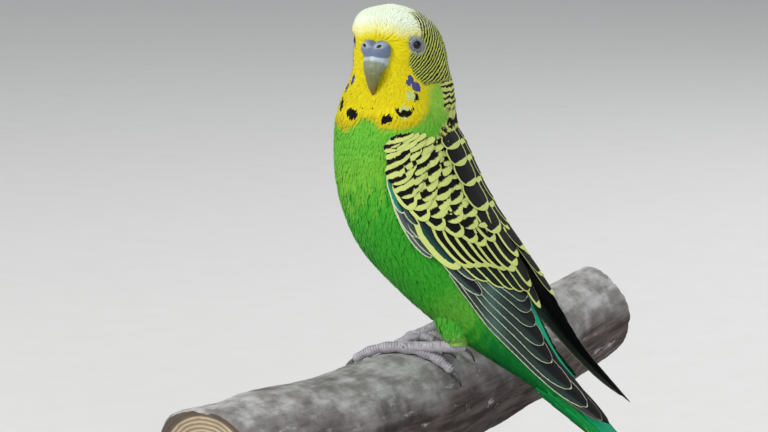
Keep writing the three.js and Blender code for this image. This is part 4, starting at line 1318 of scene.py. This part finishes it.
def make_tail():
    """Six pairs of graduated feathers and the soft coverts over and under their roots."""
    made = []
    for pair, reach in enumerate(TAIL_REACH):
        fan = math.sin(rad(0.3 + 1.2 * pair))
        for side in (-1, 1):
            length = TAIL_LENGTH * reach - 4

            def place(v, across, height, pair=pair, side=side, fan=fan, length=length):
                along = 4 + v * length
                sideways = side * (1.2 + along * fan - across)
                roof = 1.0 - 0.32 * pair - 0.12 * np.abs(sideways)
                return on_tail(along, sideways, roof + height)

            look = OUTER_TAIL if pair else INNER_TAIL
            vane = make_vane(place, length, 5.0, (0.3, -0.2, 0.1), look, RANDOM.uniform(0, 1))
            made.append((*vane, (1.5, 20.0 * pair), length))
    for layer in range(7):
        for column in range(11):
            angle = lerp(-172, 172, (column + 0.5 * (layer % 2)) / 10.5)
            start = lerp(0.02, 0.26, layer / 6)

            def place(v, across, height, angle=angle, start=start):
                f = start + 0.2 * v
                g = np.clip(f, 0, 0.46) / 0.46
                wide, high, deep = lerp(8.2, 3.6, g), lerp(4.7, 1.5, g**0.7), lerp(5.9, 1.7, g**0.8)
                spread = rad(angle) + across / wide
                c = np.cos(spread)
                out = 0.25 + height - 0.25 * v
                up = np.where(c > 0, c * high, c * deep)
                return on_tail(f * TAIL_LENGTH + 0.5, (wide + out) * np.sin(spread), up + out * c)

            tone = srgb(18, 164, 116) if abs(angle) < 70 else srgb(16, 140, 66)
            tone = tone * RANDOM.uniform(0.85, 1.15)
            look = {"ground": tone * 1.15, "mark": tone, "edge": 0.4}
            vane = make_vane(place, TAIL_COVERT, 4.6, (0.55, 0.0, 0.1), look, RANDOM.uniform(0, 1))
            made.append((*vane, (1.8, angle % 360), TAIL_COVERT))
    mesh("feathers_tail", gather(made), "flight_feathers", ["tail"])


# Eyes, lids, cere and bill
def make_eyes():
    polar, around = np.meshgrid(np.linspace(0.001, math.pi, 40), -circle(64), indexing="ij")
    for side, word in ((1, "left"), (-1, "right")):
        out = EYE_OUT[side]
        level = np.cross(UP, out)
        ways = (np.cos(polar), np.sin(polar) * np.cos(around), np.sin(polar) * np.sin(around))
        ball = sum(way[..., None] * axis for way, axis in zip(ways, (out, level, UP)))
        points, faces = closed_tube(EYE_CENTRE[side] + EYE_RADIUS * ball)
        d = points - EYE_CENTRE[side]
        radius = np.where(d @ out > 0, norm(flattened(d, out)), FAR_AWAY)
        shape = (points, faces, {"Radius": ("FLOAT", radius)})
        mesh("eyeball_" + word, shape, "eye", ["eye_" + word])
        make_lid(side, word)


LID_REACH = 1.62
LID_OUT = 1.68
LID_HALF_WIDTH = 0.32
LID_HALF_HEIGHT = 0.28


def make_lid(side, word):
    """The bare ring round an eye, of fine beads in two rows."""
    out = EYE_OUT[side]
    level = np.cross(UP, out)
    sides, rings = 120, 14
    section = circle(rings)
    made = np.zeros((sides, rings, 3))
    for i, a in enumerate(circle(sides)):
        way = math.cos(a) * level + math.sin(a) * UP
        beads = 0.05 * np.cos(20 * a) * np.sin(section) + 0.03 * np.cos(27 * a + 2) * np.cos(section)
        reach = LID_REACH + (LID_HALF_WIDTH + beads) * np.cos(section)
        height = LID_OUT - 0.2 * (reach - 1.2) ** 2 + (LID_HALF_HEIGHT + beads) * np.sin(section)
        made[i] = EYE_CENTRE[side] + reach[:, None] * way + height[:, None] * out
    faces = rings_to_faces(sides + 1, rings) % (sides * rings)
    mesh("lid_" + word, (made, faces), "lid")


# The cere as three ovals in the head's frame: the band and the two lobes over it
CERE_OVALS = [
    ((13.4, 0.0, -1.0), (3.1, 4.7, 2.7)),
    ((14.1, 1.95, 0.9), (2.9, 2.8, 2.4)),
    ((14.1, -1.95, 0.9), (2.9, 2.8, 2.4)),
]
CERE_MELT = 0.22  # how softly the ovals run together
NOSTRIL_LEFT = 2.45
NOSTRIL_UP = 1.55
NOSTRIL_HALF_WIDTH = 0.72
NOSTRIL_HALF_HEIGHT = 0.5


def cere_depth(forward, left, up):
    """Below 0 within the cere, and above 0 outside."""
    point = np.stack([forward, left, up], -1)
    ovals = [norm((point - middle) / half) - 1 for middle, half in CERE_OVALS]
    notch = 0.3 * np.exp(-((left / 0.7) ** 2)) * smooth(1.4, 3.0, up)
    return -CERE_MELT * np.log(sum(np.exp(-oval / CERE_MELT) for oval in ovals)) + CERE_MELT * 0.5 + notch


def make_cere():
    rings, sides = 110, 150
    start = (12.8, 0.0, -0.2)
    polar, around = np.meshgrid(np.linspace(0.01, 3.13, rings), -circle(sides), indexing="ij")
    ways = (np.cos(polar), np.sin(polar) * np.cos(around), np.sin(polar) * np.sin(around))
    near, far = np.zeros(polar.shape), np.full(polar.shape, 8.0)
    for _ in range(24):
        middle = (near + far) / 2
        inside = cere_depth(*(s + middle * w for s, w in zip(start, ways))) < 0
        near, far = np.where(inside, middle, near), np.where(inside, far, middle)
    forward, left, up = (s + near * w for s, w in zip(start, ways))
    nostrils = []
    for side in (1, -1):
        off = left - side * NOSTRIL_LEFT
        above = up - NOSTRIL_UP - 0.2 * side * off
        nostrils.append(np.hypot(off / NOSTRIL_HALF_WIDTH, above / NOSTRIL_HALF_HEIGHT))
    nearest = np.minimum(*nostrils)
    # The nostrils: dented in, with painted shade inside them
    hole = smooth(1.15, 0.7, nearest) * (forward > 13)
    pale = 0.8 * smooth(3.2, 1.4, nearest) * smooth(0.4, 1.4, up) + 0.9 * smooth(-1.7, -2.4, up)
    forward = forward - 0.7 * hole + 0.12 * smooth(2.2, 1.3, nearest) * (1 - hole)
    grid = in_head(forward[..., None], left[..., None], up[..., None])
    grid = grid + 0.05 * (wave(grid, 1.4, 5) * smooth(0, 0.2, np.sin(polar)))[..., None] * HEAD_FORWARD
    points, faces = closed_tube(grid)

    def with_ends(values):
        return np.concatenate([values.ravel(), [values[0, 0], values[-1, 0]]])

    attributes = {"Pale": ("FLOAT", np.clip(with_ends(pale), 0, 1)), "Hole": ("FLOAT", with_ends(hole))}
    mesh("cere_skin", (points, faces, attributes), "cere", ["cere"])


# Both halves of the bill, as the way forward, up and half across of their sections, and their depth
# for their width
BILLS = {
    "upper": (
        [
            (12.4, -1.9, 4.0), (13.9, -3.4, 3.85), (14.9, -5.1, 3.35), (15.6, -7.1, 2.6), (15.9, -9.1, 1.85),
            (15.9, -11.1, 1.1), (15.6, -12.9, 0.35),
        ],
        0.76,
    ),
    "lower": ([(10.2, -6.2, 2.5), (11.8, -7.4, 2.2), (13.0, -8.8, 1.7), (13.8, -10.2, 0.8)], 0.6),
}


def make_bill():
    """Both halves, with a low ridge and fine layers, and a shallow groove across the upper one."""
    rings, sides = 60, 48
    for word, (sections, flat) in BILLS.items():
        spine = through([in_head(forward, 0, up) for forward, up, _ in sections], rings)
        wide = through([half for _, _, half in sections], rings)
        _, side, up = tube_frame(spine, HEAD_LEFT)
        c, s = np.cos(circle(sides)), np.sin(circle(sides))
        section = np.abs(s) ** 0.9 * np.sign(s) * flat
        ridge = 1 + 0.05 * np.exp(-((np.abs(c)) / 0.16) ** 2)
        t = np.linspace(0, 1, rings)[:, None]
        chip = -0.10 * np.exp(-(((t - 0.62 - 0.05 * c) / 0.03) ** 2)) * (word == "upper")
        layered = 0.05 * np.sin(t * 34 + 0.8 * c) * smooth(0.1, 0.4, t)
        radius = (wide[:, None] + chip + layered) * ridge[None]
        sideways = (radius * c)[..., None] * side[:, None]
        rows = spine[:, None] + sideways + (radius * section)[..., None] * up[:, None]
        ends = np.concatenate([np.repeat(t[:, 0], sides), [0, 1]])
        shape = (*closed_tube(rows), {"Along": ("FLOAT", ends)})
        mesh("horn_bill_" + word, shape, "bill", ["bill_" + word])


# Legs, feet and claws. A foot grips at along in mm from the branch's middle and turn in degrees
# round it, and heel is in mm from the perch's top. left and right are how far along the branch a
# toe runs on each foot, around is how far round it, and thick is its radius.
LEGS = {
    "left": dict(side=1, along=7.4, turn=-8.0, heel=(7.8, 10.6, 1.9)),
    "right": dict(side=-1, along=-8.6, turn=10.0, heel=(-9.3, 7.2, 8.2)),
}
TOES = {
    "inner_front": dict(left=-2.2, right=2.2, around=37.0, thick=1.15),
    "outer_front": dict(left=6.0, right=-6.0, around=47.0, thick=1.4),
    "inner_back": dict(left=-9.6, right=1.6, around=-20.0, thick=1.1),
    "outer_back": dict(left=-6.2, right=-3.4, around=-42.0, thick=1.35),
}
TOE_CURVE = 0.85
TOE_HEIGHT = 0.2
TOE_STEPS = 130
CLAW_LENGTH = 5.0
SCUTE_LENGTH = 0.8


def foot_middle(leg):
    return perch_point(leg["along"], leg["turn"], 2.0)


def heel_point(leg):
    return np.array(leg["heel"]) + (0, 0, PERCH_TOP)


def spokes(angle, side, up):
    """Ways out from each step of a path, at each angle from side towards up."""
    return np.cos(angle)[None, :, None] * side[:, None] + np.sin(angle)[None, :, None] * up[:, None]


def scaly_tube(path, radii, across, plates_up, depth=0.14):
    """A scaled limb: overlapping plates on its upper side and small pads below. The last value is
    each point's place along its plate."""
    _, side, up = tube_frame(path, across)
    steps = np.concatenate([[0], np.cumsum(np.linalg.norm(np.diff(path, axis=0), axis=1))])
    angle = circle(26)
    facing = spokes(angle, side, up)
    upper = smooth(-0.2, 0.5, facing @ plates_up)
    plate = ((steps / SCUTE_LENGTH)[:, None] + 0.12 * np.cos(angle) ** 2) % 1.0
    raised = depth * (plate * smooth(1.0, 0.82, plate))
    grain = 0.5 * depth * wave(path[:, None] + facing * radii[:, None, None], 1.1, 9)
    radius = radii[:, None] + raised * upper + grain * (1 - upper) - 0.3 * depth
    points, faces = closed_tube(path[:, None] + radius[..., None] * facing)
    shade = lerp(0.5 + 0 * plate, plate * smooth(1.0, 0.9, plate), upper)
    return points, faces, np.append(shade.ravel(), [0.5, 0.5])


def joined_parts(parts):
    """One shape from several scaly tubes."""
    points, faces, plates, start = [], [], [], 0
    for p, f, plate in parts:
        points.append(p)
        faces += [tuple(i + start for i in face) for face in f]
        plates.append(plate)
        start += len(p)
    return np.concatenate(points), faces, {"Plate": ("FLOAT", np.concatenate(plates))}


def make_foot(word, leg):
    middle = foot_middle(leg)
    f = np.linspace(0, 1, TOE_STEPS)
    joints = 1 + 0.09 * np.cos(6 * math.pi * f)
    tip = 1 - 0.35 * smooth(0.94, 1.0, f)
    parts = []
    for toe in TOES.values():
        radii = toe["thick"] * lerp(1.12, 0.92, f)
        s = leg["along"] + toe[word] * f**TOE_CURVE
        path = perch_point(s, leg["turn"] + toe["around"] * f, radii + TOE_HEIGHT)
        parts.append(scaly_tube(path, 1.1 * radii * joints * tip, PERCH_ALONG, unit(middle - PERCH_MIDDLE)))
    knuckle = np.linspace(-1, 1, 40)
    path = middle + PERCH_ALONG * (knuckle * 2.1)[:, None]
    round_end = np.sqrt(np.clip(1 - knuckle**2, 0.004, 1))
    parts.append(scaly_tube(path, 1.8 * round_end, PERCH_UP, PERCH_UP, 0.16))
    mesh("toes_" + word, joined_parts(parts), "scaly", ["foot_" + word])
    for name, toe in TOES.items():
        make_claw(word, leg, name, toe)


def make_claw(word, leg, name, toe):
    """The claw that follows a toe's end down the bark."""
    angle = circle(20)
    f = np.linspace(0, 1, 26)
    radii = lerp(0.8, 0.2, f**0.9)
    way, down = unit([TOE_CURVE * toe[word], PERCH_RADIUS * rad(toe["around"])])
    reach = GAP + 0.15 + CLAW_LENGTH * f
    turned = leg["turn"] + toe["around"] + np.degrees(down * reach / PERCH_RADIUS)
    height = radii + lerp(0.3, 0.15, f) + lerp(0.25 * toe["thick"], 0, f) + 0.6 * np.sin(math.pi * f)
    path = perch_point(leg["along"] + toe[word] + way * reach, turned, height)
    _, side, up = tube_frame(path, PERCH_ALONG)
    oval = spokes(angle, 0.85 * side, up)
    ends = np.append(np.repeat(f, len(angle)), [0, 1])
    shape = (*closed_tube(path[:, None] + radii[:, None, None] * oval), {"Along": ("FLOAT", ends)})
    node = f"claw_{word}_{name}"
    mesh("horn_" + node, shape, "claw", [node])


def make_leg(word, leg):
    """The bare shank, from the heel to the foot."""
    middle = foot_middle(leg)
    heel = heel_point(leg)
    path = through([heel + (0, 0.3, 0.5), heel, lerp(heel, middle, 0.5), middle], 90)
    radii = through([1.9, 1.9, 1.6, 1.7], 90)
    shank = joined_parts([scaly_tube(path, radii, (1.0, 0, 0.01), UP)])
    mesh("shank_" + word, shank, "scaly", ["leg_" + word])


THIGH_FEATHERS = 1300
THIGH_FEATHER_LENGTH = 4.6


def make_thigh_coat():
    """Soft short feathers down each thigh, from the belly to the heel."""
    for word, leg in LEGS.items():
        heel = heel_point(leg)
        hip = heel + (-3.2 * leg["side"], -1.0, 15)
        path = through([hip, lerp(hip, heel, 0.55), lerp(hip, heel, 0.85), heel + (0, 0, 0.6)], 60)
        radii = through([8.6, 7.2, 4.8, 2.9], 60)
        bed = limb_feathers(path, radii, THIGH_FEATHERS, THIGH_FEATHER_LENGTH)
        make_coat("coat_thigh_" + word, bed)


def limb_feathers(path, radii, count, length):
    """Small vanes that lie down a limb and close in round its end."""
    rows = len(ROW_PLACES)
    size = np.linalg.norm(path[-1] - path[0])
    start = RANDOM.uniform(0.0, 0.8, count) ** 0.8
    angle = RANDOM.uniform(0, 2 * math.pi, count)
    along, side, up = tube_frame(path, np.array([1.0, 0, 0]))
    f = np.clip(start[:, None] + length / size * ROW_PLACES, 0, 1.06)
    at = np.clip(f, 0, 1) * (len(path) - 1)
    index = np.round(at).astype(int)
    out = unit(np.cos(angle)[:, None, None] * side[index] + np.sin(angle)[:, None, None] * up[index])
    reach = radii[index] - 1.0 + lerp(0.1, 0.9, ROW_PLACES) * RANDOM.uniform(0.85, 1.1, (count, 1))
    beyond = np.maximum(f - 1, 0)[..., None] * size * along[-1]
    places = path[index] + out * reach[..., None] + beyond
    across = unit(np.cross(out, along[index]))
    half = 0.5 * ROW_WIDTHS[None, :, None] * np.ones((count, 1, 1))
    points, shading = vane_rings(places, half, across, out)
    size = len(points)
    chance = np.repeat(RANDOM.uniform(0, 1, count), rows * 4)
    low = smooth(0.5, 1.0, np.repeat(f.ravel(), 4))
    ground = mixed(np.broadcast_to(GREEN, (size, 3)).copy(), srgb(150, 190, 92), 0.7 * low + 0.2 * chance)
    mark = np.broadcast_to(BLACK, (size, 3))
    marks = (ground, mark, np.zeros(size), np.zeros(size))
    corner = place_on_map(3.4 + 0.1 * chance, 120 + 40 * chance)
    return finished_bed(points, shading, marks, 0.5, length, chance, corner)


# Branch and stand
def make_perch():
    rings, sides = 360, 200
    s = np.linspace(-PERCH_FAR, PERCH_NEAR, rings)
    around = 360.0 * np.arange(sides) / sides
    grid_s, grid_a = np.meshgrid(s, around, indexing="ij")
    near_feet = smooth(14, 26, np.abs(grid_s))
    stretched = np.stack([grid_s * 0.25, 9 * np.cos(rad(grid_a)), 9 * np.sin(rad(grid_a))], -1)
    rough = 0.35 * wave(stretched, 3.2, 21) + 0.2 * wave(stretched, 1.3, 22) - 0.25
    end = np.minimum(grid_s + PERCH_FAR, PERCH_NEAR - grid_s)
    lift = rough * lerp(0.35, 1.0, near_feet) - 0.9 * smooth(1.2, 0.0, end)
    points = perch_point(grid_s, grid_a, lift)
    lie = np.stack([grid_s, PERCH_RADIUS * np.cos(rad(grid_a)), PERCH_RADIUS * np.sin(rad(grid_a))], -1) * MM
    # How near the top of the branch each point lies, for the painted light on the bark's top
    top = smooth(-0.5, 0.9, np.cos(rad(grid_a - 10)))
    attributes = {"Lie": ("FLOAT_VECTOR", lie.reshape(-1, 3)), "Top": ("FLOAT", top.ravel())}
    mesh("bark_tube", (points, rings_to_faces(rings, sides), attributes), "bark", ["perch"])
    steps = np.linspace(1, 0.02, 24)
    for word, ring, flip in (("far", points[0], False), ("near", points[-1], True)):
        centre = ring.mean(0)
        disc = centre + (ring - centre)[None] * steps[:, None, None]
        out = norm(disc - centre)
        dish = 0.12 * np.sin(out * 5.0) * (steps[:, None] < 0.99)
        disc = disc + PERCH_ALONG * (dish * (1 if word == "near" else -1))[..., None]
        faces = rings_to_faces(len(steps), sides, flip=flip)
        mesh("cut_end_" + word, (disc, faces, {"Radius": ("FLOAT", out.ravel())}), "end_grain")


def turned_shape(name, profile, centre, material, nodes, sides=128):
    """A piece turned on a lathe, from a profile of [radius, height]."""
    profile = np.array(profile, float)
    angle = circle(sides)
    ring = np.stack([np.cos(angle), np.sin(angle), 0 * angle], -1)
    rows = np.array(centre) + profile[:, 0][:, None, None] * ring + profile[:, 1][:, None, None] * UP
    mesh(name, closed_tube(rows), material, nodes)


BASE_BEVEL = 1.2
FOOT_BEVEL = 0.6
ROD_TOP_GAP = 1.5


def make_stand():
    curve = np.linspace(0, math.pi / 2, 8)
    inset, drop = BASE_RADIUS - BASE_BEVEL, BASE_HEIGHT - BASE_BEVEL
    top = [(inset + BASE_BEVEL * math.cos(a), drop + BASE_BEVEL * math.sin(a)) for a in curve]
    foot = [(BASE_RADIUS - FOOT_BEVEL, 0.0), (BASE_RADIUS, FOOT_BEVEL)]
    inner = [(r, BASE_HEIGHT) for r in (50, 30, 10, 0.5)]
    underside = [(r, 0.0) for r in (0.5, 30, 56)]
    profile = underside + foot + top + inner
    turned_shape("turned_base", profile, (0, 0, 0), "wood", ["stand_base"])
    for word, way in (("near", 1), ("far", -1)):
        x, y, _ = PERCH_MIDDLE + PERCH_ALONG * (way * ROD_ALONG)
        low, high = (corner[2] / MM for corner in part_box("stand_rod_" + word))
        profile = [(ROD_RADIUS, height) for height in np.linspace(low, high - ROD_TOP_GAP, 24)]
        node = "stand_rod_" + word
        turned_shape("steel_rod_" + word, profile, (x, y, 0), "steel", [node], 48)


# Room. Each light has its place and its size in metres, its power and its colour.
LIGHTS = {
    "key": ((0.9, -0.8, 1.1), 0.6, 15.5, (1, 0.98, 0.95)),
    "fill": ((1.1, 0.9, 0.5), 0.9, 4, (0.95, 0.97, 1)),
    "rim": ((-0.8, 0.5, 0.9), 0.5, 5.5, (1, 1, 1)),
}
LIGHT_AIM = (0, 0, 0.11)
FLOOR_RADIUS = 40.0
FLOOR_DROP = 0.0002


def make_lights():
    for name, (where, size, power, colour) in LIGHTS.items():
        data = bpy.data.lights.new(name, "AREA")
        data.shape = "DISK"
        data.size = size
        data.energy = power
        data.color = colour
        lamp = bpy.data.objects.new(name, data)
        lamp.location = Vector(where)
        lamp.rotation_euler = (Vector(LIGHT_AIM) - Vector(where)).to_track_quat("-Z", "Y").to_euler()
        bpy.context.scene.collection.objects.link(lamp)


def make_room():
    bpy.ops.mesh.primitive_circle_add(
        vertices=96, radius=FLOOR_RADIUS, fill_type="NGON", location=(0, 0, -FLOOR_DROP)
    )
    floor = bpy.context.object
    floor.name = "floor"
    floor.data.materials.append(MATERIAL["floor"])
    world = bpy.data.worlds.new("pale_room")
    world.use_nodes = True
    background = world.node_tree.nodes["Background"]
    background.inputs["Color"].default_value = (0.9, 0.92, 0.95, 1)
    background.inputs["Strength"].default_value = 0.42
    bpy.context.scene.world = world
    bpy.context.scene.view_settings.view_transform = "Standard"


MATERIAL = {
    "body_feathers": plumage_material(
        "plumage_small", roughness=0.7, specular=0.14, barb_period=0.16, barb_depth=0.05, wander=1.0
    ),
    "flight_feathers": plumage_material(
        "plumage_flight", roughness=0.6, specular=0.12, barb_period=0.22, barb_depth=0.06, wander=0.4
    ),
    "eye": eye_material(),
    "lid": lid_material(),
    "scaly": scaly_material(),
    "cere": cere_material(),
    "bill": bill_material(),
    "claw": claw_material(),
    "bark": bark_material(),
    "end_grain": end_grain_material(),
    "wood": wood_material(),
    "steel": steel_material(),
    "floor": floor_material(),
}

make_camera()
make_room()
make_lights()
make_body_coat(make_skin())
make_wings()
make_tail()
make_eyes()
make_cere()
make_bill()
for leg_word, leg_facts in LEGS.items():
    make_foot(leg_word, leg_facts)
    make_leg(leg_word, leg_facts)
make_thigh_coat()
make_perch()
make_stand()
